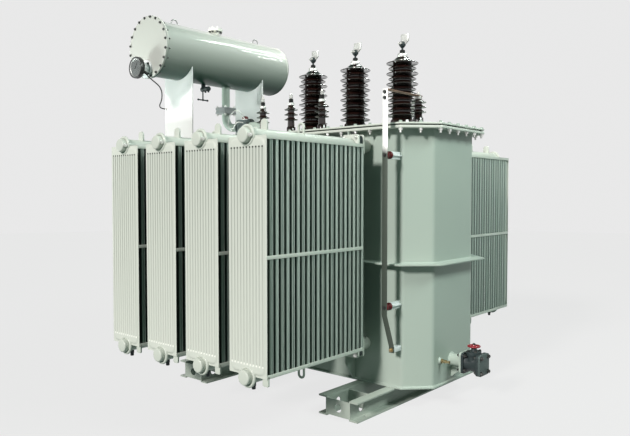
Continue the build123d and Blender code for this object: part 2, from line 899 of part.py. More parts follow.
# Filler neck with its bolted cap, and lifting eyes, on top of the conservator
shell_top = conservator_height + conservator_radius
with BuildPart() as filler:
    filler_top = shell_top + filler_neck_height
    with BuildSketch(Plane.XY.offset(conservator_height)):
        with Locations((-conservator_offset, filler_place)):
            Circle(filler_neck_radius)
    extrude(amount=conservator_radius + filler_neck_height)
    with BuildSketch(Plane.XY.offset(filler_top)):
        with Locations((-conservator_offset, filler_place)):
            Circle(filler_flange_radius)
    extrude(amount=filler_flange_thickness + filler_cover_thickness)
    with BuildSketch(Plane.XZ.offset(conservator_end)):
        with Locations((-conservator_offset, conservator_height)):
            Circle(conservator_radius + seat_gap)
    extrude(amount=-conservator_length, mode=Mode.SUBTRACT)
save(filler, "filler_cap")

with BuildPart() as lifting_eyes:
    for y in eye_places:
        with BuildSketch(Plane.YZ.offset(-conservator_offset)):
            with Locations((y, shell_top)):
                Circle(eye_radius + eye_bar)
                Circle(eye_radius - eye_bar, mode=Mode.SUBTRACT)
        extrude(amount=eye_bar, both=True)
    with BuildSketch(Plane.XZ.offset(conservator_end)):
        with Locations((-conservator_offset, conservator_height)):
            Circle(conservator_radius + seat_gap)
    extrude(amount=-conservator_length, mode=Mode.SUBTRACT)
save(lifting_eyes, "lifting_eyes")

# Oil level gauge on the near end cover
gauge_centre = -conservator_offset + gauge_offset
gauge_level = conservator_height - gauge_drop
gauge_body_back = cover_face + gauge_base_thickness + gauge_neck_length
gauge_face = gauge_body_back + gauge_body_length
with BuildPart() as gauge:
    for start, length, radius in (
        (cover_face, gauge_base_thickness, gauge_base_radius),
        (cover_face + gauge_base_thickness, gauge_neck_length, gauge_neck_radius),
        (gauge_body_back, gauge_body_length, gauge_body_radius),
    ):
        with BuildSketch(outward(-1, gauge_centre, start, gauge_level)):
            Circle(radius)
        extrude(amount=length)
    with BuildSketch(outward(-1, gauge_centre, gauge_face, gauge_level)):
        Circle(gauge_glass_radius)
    extrude(amount=-gauge_glass_recess, mode=Mode.SUBTRACT)
    gland_root = (gauge_centre, -cable_gland_place, gauge_level)
    gland_way = Vector(1, 0, 0).rotate(Axis.Y, cable_gland_turn)
    with BuildSketch(Plane(gland_root, z_dir=gland_way)):
        Circle(cable_gland_radius)
    extrude(amount=cable_gland_reach)
save(gauge, "oil_level_gauge")

# Gauge cable: it leaves the gland on the gauge's neck, sags under the shell and ends at the support's clip
def cable_radii(points):
    """Returns the bend radius at each inner point of a route: as large as its two runs allow."""
    vectors = [Vector(*b) - Vector(*a) for a, b in zip(points, points[1:])]
    radii = []
    for first, second in zip(vectors, vectors[1:]):
        shorter = min(first.length, second.length)
        radii.append(cable_run_share * shorter / tan(radians(first.get_angle(second)) / 2))
    return radii


cable_route = []
for bend, share, drop in zip(cable_bends, cable_way_shares, cable_drops):
    way = cable_gland_place + share * (clip_face + seat_gap - cable_gland_place)
    cable_route.append((bend - conservator_offset, -way, conservator_height - drop))
print("cable radii", [round(radius) for radius in cable_radii(cable_route)])
with BuildPart() as cable:
    with BuildLine() as cable_path:
        FilletPolyline(*cable_route, radius=cable_radii(cable_route))
    with BuildSketch(Plane(cable_path.line @ 0, z_dir=cable_path.line % 0)):
        Circle(cable_diameter / 2)
    sweep()
cable_length = cable_path.wire().length
cable_section = Circle(cable_diameter / 2, mode=Mode.PRIVATE).area
print("cable length", round(cable_length))
print("cable volume over section times length", round(cable.part.volume / cable_section / cable_length, 4))
save(cable, "gauge_cable")

# Oil pipe: down from the conservator, over to the tank, and down to the cover
pipe_low = conservator_height - oil_pipe_drop
pipe_start = (-conservator_offset, oil_pipe_place, conservator_height - conservator_radius / 2)
with BuildPart() as oil_pipe:
    with BuildLine() as pipe_path:
        FilletPolyline(
            pipe_start,
            (-conservator_offset, oil_pipe_place, pipe_low),
            (-oil_pipe_landing, oil_pipe_place, pipe_low),
            (-oil_pipe_landing, oil_pipe_place, cover_top),
            radius=oil_pipe_bend,
        )
    with BuildSketch(Plane(pipe_start, z_dir=(0, 0, -1))):
        Circle(oil_pipe_diameter / 2)
    sweep()
    with BuildSketch(Plane.XZ.offset(conservator_end)):
        with Locations((-conservator_offset, conservator_height)):
            Circle(conservator_radius + seat_gap)
    extrude(amount=-conservator_length, mode=Mode.SUBTRACT)
    with BuildSketch(Plane.XY.offset(cover_top)):
        with Locations((-oil_pipe_landing, oil_pipe_place)):
            Circle(landing_flange_radius)
    extrude(amount=landing_flange_thickness)
    valve_foot = conservator_height - oil_valve_drop
    for level in (valve_foot, valve_foot + oil_valve_length - oil_flange_thickness):
        with BuildSketch(Plane.XY.offset(level)):
            with Locations((-conservator_offset, oil_pipe_place)):
                rounded_square(oil_valve_side, pipe_flange_corner)
        extrude(amount=oil_flange_thickness)
    with BuildSketch(Plane.XY.offset(valve_foot)):
        with Locations((-conservator_offset, oil_pipe_place)):
            Circle(oil_valve_waist)
    extrude(amount=oil_valve_length)
    with BuildSketch(Plane.YZ.offset(-relay_place - relay_length / 2)):
        with Locations((oil_pipe_place, pipe_low)):
            Circle(oil_pipe_diameter / 2)
    extrude(amount=relay_length, mode=Mode.SUBTRACT)
save(oil_pipe, "oil_pipe")

# Gas relay in the level run of the pipe
with BuildPart() as relay:
    body_length = relay_length - 2 * relay_flange_thickness
    with Locations((-relay_place, oil_pipe_place, pipe_low)):
        Box(body_length, relay_side, relay_side)
    for hand in (-1, 1):
        start = -relay_place + hand * relay_length / 2
        with BuildSketch(Plane.YZ.offset(start)):
            with Locations((oil_pipe_place, pipe_low)):
                Circle(relay_flange_radius)
        extrude(amount=-hand * relay_flange_thickness)
    with BuildSketch(Plane.XY.offset(pipe_low + relay_side / 2)):
        with Locations((-relay_place, oil_pipe_place)):
            Circle(relay_dome_radius)
    extrude(amount=relay_dome_height)
save(relay, "gas_relay")

# Drain cock under the conservator: neck, barrel, spout and a T handle
with BuildPart() as cock:
    neck_top = conservator_height - conservator_radius / 2
    shell_foot = conservator_height - conservator_radius
    barrel_top = shell_foot - cock_neck_length
    barrel_foot = barrel_top - cock_body_length
    turn(
        [
            (0, neck_top), (cock_neck_radius, neck_top), (cock_neck_radius, barrel_top),
            (cock_body_radius, barrel_top), (cock_body_radius, barrel_foot),
            (cock_spout_radius, barrel_foot), (cock_spout_radius, barrel_foot - cock_spout_length),
            (0, barrel_foot - cock_spout_length),
        ],
        -conservator_offset, cock_place, 0,
    )
    barrel_middle = (barrel_top + barrel_foot) / 2
    stem_end = -conservator_offset + cock_body_radius + cock_stem_length
    with BuildSketch(Plane.YZ.offset(-conservator_offset)):
        with Locations((cock_place, barrel_middle)):
            Circle(cock_handle_radius)
    extrude(amount=cock_body_radius + cock_stem_length)
    with BuildSketch(Plane.XZ.offset(-cock_place)):
        with Locations((stem_end, barrel_middle)):
            Circle(cock_handle_radius)
    extrude(amount=cock_handle_length / 2, both=True)
    with BuildSketch(Plane.XZ.offset(conservator_end)):
        with Locations((-conservator_offset, conservator_height)):
            Circle(conservator_radius + seat_gap)
    extrude(amount=-conservator_length, mode=Mode.SUBTRACT)
save(cock, "conservator_drain_cock")

# Pressure relief valve on the cover
with BuildPart() as relief:
    turn(
        [
            (0, 0), (relief_flange_radius, 0), (relief_flange_radius, relief_flange_thickness),
            (relief_body_radius, relief_flange_thickness), (relief_body_radius, relief_body_height),
            (relief_crown_radius, relief_crown_height), (0, relief_crown_height),
        ],
        -relief_offset, relief_row, cover_top,
    )
save(relief, "relief_valve")

# Drain stub on the end wall: pipe, square flange and the gusset under it
drain_flange_face = end_wall + drain_stub_length
drain_pipe_radius = drain_pipe_diameter / 2
with BuildPart() as drain_stub:
    with BuildSketch(Plane.YZ.offset(end_wall)):
        with Locations((drain_row, drain_height)):
            Circle(drain_pipe_radius)
    extrude(amount=drain_stub_length)
    with BuildSketch(Plane.YZ.offset(drain_flange_face)):
        with Locations((drain_row, drain_height)):
            rounded_square(drain_flange_side, drain_flange_corner)
    extrude(amount=drain_flange_thickness)
    with BuildSketch(Plane.XZ.offset(-drain_row)):
        Polygon(
            (end_wall, drain_height - drain_pipe_radius / 2),
            (end_wall, drain_height - drain_pipe_radius - drain_gusset_depth),
            (drain_flange_face, drain_height - drain_pipe_radius),
            (drain_flange_face, drain_height - drain_pipe_radius / 2),
            align=None,
        )
    extrude(amount=drain_gusset_thickness / 2, both=True)
save(drain_stub, "drain_stub")

# Drain valve body: two square flanges, a barrel and a bonnet with a bore for the stem
body_face = drain_flange_face + drain_flange_thickness
body_end = body_face + 2 * drain_flange_thickness + drain_body_length
body_middle = (body_face + body_end) / 2
gland_top = drain_height + drain_gland_height
with BuildPart() as drain_body:
    for start in (body_face, body_end - drain_flange_thickness):
        with BuildSketch(Plane.YZ.offset(start)):
            with Locations((drain_row, drain_height)):
                rounded_square(drain_flange_side, drain_flange_corner)
        extrude(amount=drain_flange_thickness)
    with BuildSketch(Plane.YZ.offset(body_face)):
        with Locations((drain_row, drain_height)):
            Circle(drain_body_radius)
    extrude(amount=body_end - body_face)
    with BuildSketch(Plane.XY.offset(drain_height)):
        with Locations((body_middle, drain_row)):
            Ellipse(drain_bonnet_depth / 2, drain_bonnet_width / 2)
    extrude(amount=drain_bonnet_height)
    lip_foot = drain_height + drain_bonnet_height - drain_lip_thickness
    with BuildSketch(Plane.XY.offset(lip_foot)):
        with Locations((body_middle, drain_row)):
            Ellipse(drain_bonnet_depth / 2 + drain_lip_overhang, drain_bonnet_width / 2 + drain_lip_overhang)
    extrude(amount=drain_lip_thickness)
    with BuildSketch(Plane.XY.offset(drain_height)):
        with Locations((body_middle, drain_row)):
            Circle(drain_gland_radius)
    extrude(amount=drain_gland_height)
    with BuildSketch(Plane.XY.offset(gland_top - stem_depth)):
        with Locations((body_middle, drain_row)):
            Circle(stem_radius + stem_clearance)
    extrude(amount=stem_depth, mode=Mode.SUBTRACT)
save(drain_body, "drain_valve_body")

with BuildPart() as drain_cover:
    with BuildSketch(Plane.YZ.offset(body_end)):
        with Locations((drain_row, drain_height)):
            rounded_square(drain_flange_side, drain_flange_corner)
    extrude(amount=drain_cover_thickness)
save(drain_cover, "drain_blank_cover")

# Handwheel with its stem, which turns in the gland
wheel_level = drain_height + wheel_height
with BuildPart() as wheel:
    with BuildSketch(upright(body_middle, drain_row, wheel_level)):
        with Locations((wheel_radius - wheel_rim_radius, 0)):
            Circle(wheel_rim_radius)
    revolve(axis=Axis((body_middle, drain_row, wheel_level), (0, 0, 1)))
    with BuildSketch(Plane.XY.offset(wheel_level - wheel_spoke_thickness / 2)):
        with Locations((body_middle, drain_row)):
            with PolarLocations((wheel_radius - wheel_rim_radius) / 2, wheel_spoke_count):
                Rectangle(wheel_radius - wheel_rim_radius, wheel_spoke_width)
    extrude(amount=wheel_spoke_thickness)
    with BuildSketch(Plane.XY.offset(wheel_level - wheel_hub_height / 2)):
        with Locations((body_middle, drain_row)):
            Circle(wheel_hub_radius)
    extrude(amount=wheel_hub_height)
    with BuildSketch(Plane.XY.offset(gland_top - stem_depth + seat_gap)):
        with Locations((body_middle, drain_row)):
            Circle(stem_radius)
    extrude(amount=wheel_level - gland_top + stem_depth)
save(wheel, "drain_handwheel")

# Oil sampling cock beside the drain
with BuildPart() as sampler:
    for start, length, radius in (
        (end_wall, sampler_boss_length, sampler_boss_radius),
        (end_wall + sampler_boss_length, sampler_body_length, sampler_body_radius),
    ):
        with BuildSketch(Plane.YZ.offset(start)):
            with Locations((sampler_row, sampler_height)):
                Circle(radius)
        extrude(amount=length)
save(sampler, "sampling_cock")
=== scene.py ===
"""Looks of an oil-filled power transformer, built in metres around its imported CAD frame."""

import logging
from dataclasses import dataclass
from enum import Enum
from functools import cache
from math import cos, pi, radians, sin, sqrt
from typing import Sequence

import bmesh
import bpy
from mathutils import Matrix, Vector
from mathutils.geometry import delaunay_2d_cdt


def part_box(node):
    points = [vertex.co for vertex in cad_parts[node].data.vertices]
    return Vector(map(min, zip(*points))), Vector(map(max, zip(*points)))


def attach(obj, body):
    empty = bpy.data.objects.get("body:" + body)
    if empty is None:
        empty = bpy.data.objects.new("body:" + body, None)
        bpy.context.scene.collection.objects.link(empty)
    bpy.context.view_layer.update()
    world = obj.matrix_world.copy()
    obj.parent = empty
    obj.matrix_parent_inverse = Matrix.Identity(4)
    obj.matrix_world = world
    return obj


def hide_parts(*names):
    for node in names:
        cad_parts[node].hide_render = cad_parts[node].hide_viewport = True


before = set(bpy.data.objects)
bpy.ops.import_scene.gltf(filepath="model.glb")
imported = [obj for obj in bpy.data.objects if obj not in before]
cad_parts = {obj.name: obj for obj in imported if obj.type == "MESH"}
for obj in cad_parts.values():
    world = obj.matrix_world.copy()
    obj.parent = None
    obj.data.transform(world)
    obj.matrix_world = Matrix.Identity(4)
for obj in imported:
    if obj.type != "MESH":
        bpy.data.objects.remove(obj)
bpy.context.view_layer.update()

log = logging.getLogger("transformer")

Pair = tuple[float, float]
Triple = tuple[float, float, float]
Profile = list[Pair]
Outline = tuple[Pair, ...]
Places = list[tuple[Vector, Vector]]
Socket = bpy.types.NodeSocket
Material = bpy.types.Material
Mesh = bpy.types.Mesh
Piece = bpy.types.Object

BODY = "transformer"
WHEEL_BODY = "handwheel"
UP = Vector((0, 0, 1))
CORNERS = ((-1, -1), (-1, 1), (1, -1), (1, 1))


# Node trees


class Value:
    """A number socket that takes part in Python expressions, each of which adds its Math node."""

    def __init__(self, graph: "Graph", socket: Socket) -> None:
        """Keeps the socket and the graph that it belongs to."""
        self.graph = graph
        self.socket = socket

    def _math(self, operation: str, first: "Value | float", second: "Value | float" = 0.0) -> "Value":
        """Adds one Math node and returns its result."""
        node = self.graph.add("ShaderNodeMath", {"operation": operation}, {0: first, 1: second})
        return Value(self.graph, node.outputs[0])

    def __add__(self, other: "Value | float") -> "Value":
        """Adds two values."""
        return self._math("ADD", self, other)

    def __sub__(self, other: "Value | float") -> "Value":
        """Takes a value from this one."""
        return self._math("SUBTRACT", self, other)

    def __rsub__(self, other: float) -> "Value":
        """Takes this value from a number."""
        return self._math("SUBTRACT", other, self)

    def __mul__(self, other: "Value | float") -> "Value":
        """Multiplies two values."""
        return self._math("MULTIPLY", self, other)

    def __abs__(self) -> "Value":
        """Drops the sign."""
        return self._math("ABSOLUTE", self)

    def fraction(self) -> "Value":
        """Keeps the part after the decimal point."""
        return self._math("FRACT", self)

    __radd__ = __add__
    __rmul__ = __mul__


class Graph:
    """A node tree under construction, for a material or for Geometry Nodes."""

    def __init__(self, tree: bpy.types.NodeTree) -> None:
        """Starts from a tree with no nodes in it."""
        self.tree = tree
        tree.nodes.clear()

    def add(self, kind: str, settings: dict[str, object], sockets: dict[str | int, object]) -> bpy.types.Node:
        """Creates any node.

        Args:
            kind: The node's type name.
            settings: The node's own properties, set before its sockets; "stops" are a ramp's stops.
            sockets: Values, sockets or Value objects for the node's inputs, by name or number.

        Returns:
            The new node.
        """
        node = self.tree.nodes.new(kind)
        for name, value in settings.items():
            if name == "stops":
                self._set_stops(node.color_ramp, value)
            else:
                setattr(node, name, value)
        for key, value in sockets.items():
            value = value.socket if isinstance(value, Value) else value
            if isinstance(value, Socket):
                self.tree.links.new(value, node.inputs[key])
            else:
                node.inputs[key].default_value = value
        return node

    @staticmethod
    def _set_stops(ramp: bpy.types.ColorRamp, stops: Sequence[Pair]) -> None:
        """Gives a ramp its grey stops.

        Args:
            ramp: The ramp.
            stops: Pairs of a place and a level.
        """
        while len(ramp.elements) < len(stops):
            ramp.elements.new(1.0)
        for element, (place, level) in zip(ramp.elements, stops):
            element.position = place
            element.color = (level, level, level, 1.0)


class Paint(Graph):
    """A material's tree, with the few building steps that the finishes share."""

    cloud_scale = 1.6
    cloud_gloss = 0.14
    peel_scale = 220.0
    peel_depth = 0.00018
    peel_strength = 0.35

    def __init__(self, name: str) -> None:
        """Creates the material with a coordinate node.

        Args:
            name: The material's name.
        """
        self.material = bpy.data.materials.new(name)
        self.material.use_nodes = True
        super().__init__(self.material.node_tree)
        self.place = self.add("ShaderNodeTexCoord", {}, {}).outputs["Object"]

    def noise(self, scale: float, detail: float, stretch: Triple = (1.0, 1.0, 1.0)) -> Value:
        """Spreads noise over the surface.

        Args:
            scale: Lumps per metre.
            detail: Octaves of finer lumps.
            stretch: Scale of the coordinates along each axis.

        Returns:
            The noise, from 0 to 1.
        """
        mapped = self.add("ShaderNodeMapping", {}, {"Vector": self.place, "Scale": stretch})
        sockets = {"Vector": mapped.outputs["Vector"], "Scale": scale, "Detail": detail}
        return Value(self, self.add("ShaderNodeTexNoise", {}, sockets).outputs[0])

    def clouds(self) -> Value:
        """Returns the broad clouds that every enamel has."""
        return self.noise(self.cloud_scale, 4.0)

    def along(self, axis: str) -> Value:
        """Returns the surface's place along one axis, in metres."""
        return Value(self, self.add("ShaderNodeSeparateXYZ", {}, {0: self.place}).outputs[axis])

    def ramp(self, value: Value, stops: Sequence[Pair] = ((0.0, 0.0), (1.0, 1.0))) -> Value:
        """Returns a value remapped through grey stops."""
        node = self.add("ShaderNodeValToRGB", {"stops": stops}, {"Fac": value})
        return Value(self, node.outputs["Color"])

    def blend(self, share: Value, first: "Triple | Socket", second: Triple) -> Socket:
        """Mixes two colours.

        Args:
            share: How much of the second colour shows.
            first: The first colour, or the socket that gives it.
            second: The second colour.

        Returns:
            The mixed colour.
        """
        start = (*first, 1.0) if isinstance(first, tuple) else first
        node = self.add("ShaderNodeMix", {"data_type": "RGBA"}, {0: share, 6: start, 7: (*second, 1.0)})
        return node.outputs[2]

    def bump(self, height: Value, distance: float, strength: float) -> Socket:
        """Returns a normal that follows a height over the surface."""
        sockets = {"Height": height, "Distance": distance, "Strength": strength}
        return self.add("ShaderNodeBump", {}, sockets).outputs["Normal"]

    def close(self, sockets: dict[str, object]) -> Material:
        """Ends the tree in a Principled surface.

        Args:
            sockets: The surface's values by name.

        Returns:
            The material.
        """
        shader = self.add("ShaderNodeBsdfPrincipled", {}, sockets)
        self.add("ShaderNodeOutputMaterial", {}, {"Surface": shader.outputs["BSDF"]})
        return self.material

    def enamel(
        self, colour: Socket, roughness: float, coat: "Value | float",
        coat_roughness: float = 0.09, specular: float = 0.5,
    ) -> Material:
        """Ends the tree in sprayed enamel, with clouds in its gloss and a soft orange peel.

        Args:
            colour: The colour over the surface.
            roughness: The roughness between the clouds.
            coat: Weight of the clear coat.
            coat_roughness: Roughness of the clear coat.
            specular: Level of the plain reflection.

        Returns:
            The material.
        """
        peel = self.noise(self.peel_scale, 2.0)
        return self.close({
            "Base Color": colour,
            "Roughness": roughness + self.cloud_gloss * self.clouds(),
            "Normal": self.bump(peel, self.peel_depth, self.peel_strength),
            "Specular IOR Level": specular,
            "Coat Weight": coat,
            "Coat Roughness": coat_roughness,
        })


# Finishes


@dataclass(frozen=True)
class Enamel:
    """Sprayed enamel: a plain colour with dust in patches."""

    name: str
    colour: Triple
    dust: Triple
    roughness: float = 0.38
    coat: float = 0.12
    specular: float = 0.5
    dust_share: float = 0.35

    def material(self) -> Material:
        """Builds the enamel's material.

        Returns:
            The material.
        """
        paint = Paint(self.name)
        patches = paint.ramp(paint.clouds(), ((0.35, 0.0), (0.75, 1.0)))
        colour = paint.blend(patches * self.dust_share, self.colour, self.dust)
        return paint.enamel(colour, self.roughness, self.coat, specular=self.specular)


@dataclass(frozen=True)
class LightAndShadeEnamel:
    """Glossy enamel with painted light and painted shade: lighter towards the top of a piece and darker
    towards its foot.
    """

    name: str
    crown: Triple
    underside: Triple
    foot: float
    top: float
    roughness: float = 0.3
    coat: Pair = (0.1, 0.6)
    coat_roughness: float = 0.03
    specular: float = 0.12

    def material(self) -> Material:
        """Builds the enamel's material.

        Returns:
            The material.
        """
        paint = Paint(self.name)
        # The share runs from 0 at the foot to 1 at the top: painted shade below, painted light above.
        share = paint.ramp((paint.along("Z") - self.foot) * (1 / (self.top - self.foot)))
        colour = paint.blend(share, self.underside, self.crown)
        least, more = self.coat
        return paint.enamel(colour, self.roughness, least + more * share, self.coat_roughness, self.specular)


@dataclass(frozen=True)
class FinEnamel:
    """Enamel on fins that stand close together, with painted shade far in between them, where the fins shade
    each other.
    """

    name: str
    colour: Triple
    deep_shade: Triple
    spacing: float
    shade_half_width: float
    spread: float
    roughness: float = 0.4

    def material(self) -> Material:
        """Builds the enamel's material, which repeats with the spacing of the radiators.

        Returns:
            The material.
        """
        paint = Paint(self.name)
        # Within a set distance of each radiator's middle the fins take the painted shade colour, standing in
        # for the shade between them.
        away = abs((paint.along("X") * (1 / self.spacing)).fraction() - 0.5) * self.spacing
        share = paint.ramp((away - self.shade_half_width) * (1 / self.spread))
        return paint.enamel(paint.blend(share, self.deep_shade, self.colour), self.roughness, 0.0)


@dataclass(frozen=True)
class PanelEnamel:
    """Enamel on a pressed panel, with painted shade in its grooves and at their top ends, and a painted
    highlight at their foot ends.
    """

    name: str
    colour: Triple
    painted_shade: Triple
    # The bright colour is a painted highlight at the grooves' foot ends.
    bright: Triple
    spacing: float
    groove_pitch: float
    half_field: float
    top: float
    foot: float
    dimple: Pair
    groove_share: float
    roughness: float = 0.38
    coat: float = 0.12

    def material(self) -> Material:
        """Builds the enamel's material, which repeats with the spacing of the radiators.

        Returns:
            The material.
        """
        paint = Paint(self.name)
        across = ((paint.along("X") * (1 / self.spacing)).fraction() - 0.5) * self.spacing
        aside = abs((across * (1 / self.groove_pitch) + 0.5).fraction() - 0.5) * self.groove_pitch
        width, height = self.dimple
        fade, end = ((0.6, 1.0), (1.0, 0.0)), ((0.99, 1.0), (1.0, 0.0))
        column = paint.ramp(aside * (1 / width), fade)
        column = column * paint.ramp(abs(across) * (1 / self.half_field), end)
        away = abs(paint.along("Z") - (self.top + self.foot) / 2) * (2 / (self.top - self.foot))
        # Painted shade along the grooves.
        grooves = column * paint.ramp(away, end) * self.groove_share
        colour = paint.blend(grooves, self.colour, self.painted_shade)
        # Painted shade at the grooves' top ends and a painted highlight at their foot ends.
        for level, mark in ((self.top, self.painted_shade), (self.foot, self.bright)):
            near = paint.ramp(abs(paint.along("Z") - level) * (1 / height), fade)
            colour = paint.blend(column * near, colour, mark)
        return paint.enamel(colour, self.roughness, self.coat)


@dataclass(frozen=True)
class BareMetal:
    """Uncoated metal with stains and a fine drawn grain."""

    name: str
    colour: Triple
    stain: Triple
    roughness: float = 0.35
    grain: Triple = (60.0, 60.0, 400.0)

    def material(self) -> Material:
        """Builds the metal's material.

        Returns:
            The material.
        """
        paint = Paint(self.name)
        stains = paint.ramp(paint.noise(14.0, 5.0), ((0.42, 0.0), (0.72, 1.0)))
        lines = paint.noise(1.0, 2.0, self.grain)
        return paint.close({
            "Base Color": paint.blend(stains, self.colour, self.stain),
            "Roughness": self.roughness + 0.2 * stains,
            "Metallic": 1.0,
            "Normal": paint.bump(lines, 0.0004, 0.12),
        })


@dataclass(frozen=True)
class FadedMetal:
    """Zinc-coated metal that is bright above a level and weathered to grey below it."""

    name: str
    bright: Triple
    grey: Triple
    level: float
    spread: float = 0.05

    def material(self) -> Material:
        """Builds the metal's material.

        Returns:
            The material.
        """
        paint = Paint(self.name)
        stains = paint.noise(18.0, 4.0)
        share = paint.ramp((paint.along("Z") - self.level) * (1 / self.spread) + stains)
        return paint.close({
            "Base Color": paint.blend(share, self.grey, self.bright),
            "Roughness": 0.5 + 0.15 * stains,
            "Metallic": 0.35 + 0.4 * share,
            "Normal": paint.bump(stains, 0.0004, 0.1),
        })


@dataclass(frozen=True)
class Glaze:
    """Glazed porcelain: dark, wet-looking, with the slight ripple of a fired surface."""

    name: str
    colour: Triple
    thin: Triple
    roughness: float = 0.1
    ripple: Triple = (1.0, 1.0, 0.4)

    def material(self) -> Material:
        """Builds the glaze's material.

        Returns:
            The material.
        """
        paint = Paint(self.name)
        flow = paint.noise(9.0, 3.0)
        thinned = paint.ramp(flow, ((0.4, 0.0), (0.8, 1.0)))
        return paint.close({
            "Base Color": paint.blend(thinned, self.colour, self.thin),
            "Roughness": self.roughness + 0.08 * flow,
            "Normal": paint.bump(paint.noise(26.0, 2.0, self.ripple), 0.002, 0.1),
            "Coat Weight": 0.6,
            "Coat Roughness": 0.06,
        })


@dataclass(frozen=True)
class Moulding:
    """Rubber, resin or jacket: one colour with a faint mottle."""

    name: str
    colour: Triple
    roughness: float = 0.6
    mottle: float = 0.12

    def material(self) -> Material:
        """Builds the moulding's material.

        Returns:
            The material.
        """
        paint = Paint(self.name)
        mottle = paint.noise(80.0, 3.0)
        lighter = tuple(min(1.0, part * 1.5 + 0.01) for part in self.colour)
        return paint.close({
            "Base Color": paint.blend(mottle * self.mottle, self.colour, lighter),
            "Roughness": self.roughness + 0.1 * mottle,
            "Specular IOR Level": 0.2,
            "Normal": paint.bump(mottle, 0.0005, 0.2),
        })


@dataclass(frozen=True)
class ClearGlass:
    """A thin clear cover glass."""

    name: str
    colour: Triple = (0.3, 0.32, 0.32)
    roughness: float = 0.03
    alpha: float = 0.05

    def material(self) -> Material:
        """Builds the glass's material."""
        sockets = {"Base Color": (*self.colour, 1.0), "Roughness": self.roughness, "Alpha": self.alpha}
        return Paint(self.name).close(sockets)


class Finish(Enum):
    """The finishes on the transformer, each with the record's slot that it follows."""

    TANK = ("tank_paint", Enamel("tank enamel", (0.335, 0.40, 0.352), (0.395, 0.445, 0.39)))
    SKID = ("skid_paint", Enamel("skid enamel", (0.315, 0.36, 0.315), (0.40, 0.43, 0.38)))
    RADIATOR = ("radiator_paint", Enamel("radiator enamel", (0.53, 0.565, 0.51), (0.58, 0.605, 0.54)))
    # The panel's second and third colours are painted shade and a painted highlight on its grooves.
    PANEL = ("radiator_paint", PanelEnamel(
        "panel enamel", (0.585, 0.612, 0.555), (0.05, 0.06, 0.05), (0.76, 0.77, 0.72), spacing=0.4064,
        groove_pitch=0.0252, half_field=0.1386, top=1.7225, foot=0.481, dimple=(0.0075, 0.006),
        groove_share=0.2,
    ))
    # The fins' own colour is a darker copy of the radiator enamel, painted shade, and their second colour is
    # painted shade between the fins.
    FIN = ("radiator_paint", FinEnamel(
        "fin enamel", (0.37, 0.425, 0.385), (0.012, 0.02, 0.016), spacing=0.4064, shade_half_width=0.137, spread=0.006,
    ))
    # The conservator's colour is painted light towards its top and painted shade towards its underside,
    # standing in for light from above.
    DRUM = ("conservator_paint", LightAndShadeEnamel(
        "conservator enamel", (0.97, 0.96, 0.9), (0.012, 0.06, 0.04), foot=2.504, top=2.924,
    ))
    COVER = ("conservator_paint", Enamel("end cover enamel", (0.415, 0.425, 0.395), (0.45, 0.458, 0.425)))
    # The supports' pale top is painted light over the drum's cast shadow, and their darker foot is painted
    # shade.
    SUPPORT = ("support_paint", LightAndShadeEnamel(
        "support enamel", (0.9, 0.875, 0.88), (0.42, 0.41, 0.405), foot=2.1, top=2.32,
    ))
    PALE = ("support_paint", Enamel("pale enamel", (0.80, 0.82, 0.83), (0.84, 0.85, 0.85)))
    VALVE = ("valve_iron", Enamel(
        "valve enamel", (0.018, 0.027, 0.029), (0.05, 0.065, 0.065), 0.42, coat=0.0, specular=0.25,
    ))
    OIL_VALVE = ("valve_iron", Enamel("oil valve enamel", (0.22, 0.23, 0.235), (0.26, 0.27, 0.27), 0.42))
    VALVE_COVER = ("valve_iron", Enamel(
        "blank cover enamel", (0.06, 0.082, 0.08), (0.10, 0.125, 0.12), 0.42, coat=0.0, specular=0.25,
    ))
    RED = ("wheel_red", Enamel("handwheel enamel", (0.22, 0.006, 0.014), (0.27, 0.02, 0.03), 0.3))
    CASE = ("gauge_case", Enamel("gauge case enamel", (0.012, 0.013, 0.014), (0.04, 0.04, 0.04), 0.3))
    DIAL = ("gauge_case", Enamel("gauge dial enamel", (0.055, 0.06, 0.06), (0.08, 0.085, 0.085), 0.5))
    GLASS = ("gauge_case", ClearGlass("gauge glass"))
    PORCELAIN = ("brown_porcelain", Glaze("brown glaze", (0.007, 0.0026, 0.0022), (0.022, 0.008, 0.006)))
    CLAMP = ("clamp_metal", BareMetal("cast aluminium", (0.70, 0.71, 0.68), (0.50, 0.51, 0.49), 0.42))
    TERMINAL = ("terminal_metal", BareMetal("tinned brass", (0.46, 0.46, 0.44), (0.28, 0.28, 0.26), 0.36))
    BAR = ("bar_copper", BareMetal("dark copper", (0.24, 0.15, 0.10), (0.13, 0.09, 0.07), 0.45))
    PALM = ("terminal_metal", BareMetal("tinned palm", (0.56, 0.57, 0.55), (0.34, 0.35, 0.33), 0.45))
    STRIP = ("strip_steel", FadedMetal("zinc-coated strip", (0.86, 0.87, 0.85), (0.06, 0.075, 0.06), 1.745))
    FASTENER = ("strip_steel", BareMetal("zinc-coated bolts", (0.74, 0.75, 0.72), (0.46, 0.47, 0.44), 0.34))
    DARK_FASTENER = ("valve_iron", BareMetal("dark steel bolts", (0.1, 0.105, 0.1), (0.06, 0.06, 0.06), 0.4))
    EYE = ("clamp_metal", BareMetal("forged rings", (0.30, 0.31, 0.30), (0.20, 0.21, 0.20), 0.4))
    BRASS = ("cock_brass", BareMetal("turned brass", (0.42, 0.34, 0.19), (0.22, 0.17, 0.09), 0.28))
    RESIN = ("red_resin", Moulding("red resin", (0.085, 0.005, 0.007), 0.36))
    GASKET = ("gasket_rubber", Moulding("gasket rubber", (0.008, 0.009, 0.009), 0.7))
    JACKET = ("cable_jacket", Moulding("cable jacket", (0.01, 0.01, 0.011), 0.55))

    @property
    def slot(self) -> str:
        """The record's slot that the finish follows."""
        return self.value[0]

    @property
    def material(self) -> Material:
        """The finish's material, built the first time that it is asked for."""
        look = self.value[1]
        return bpy.data.materials.get(look.name) or look.material()


# Shapes


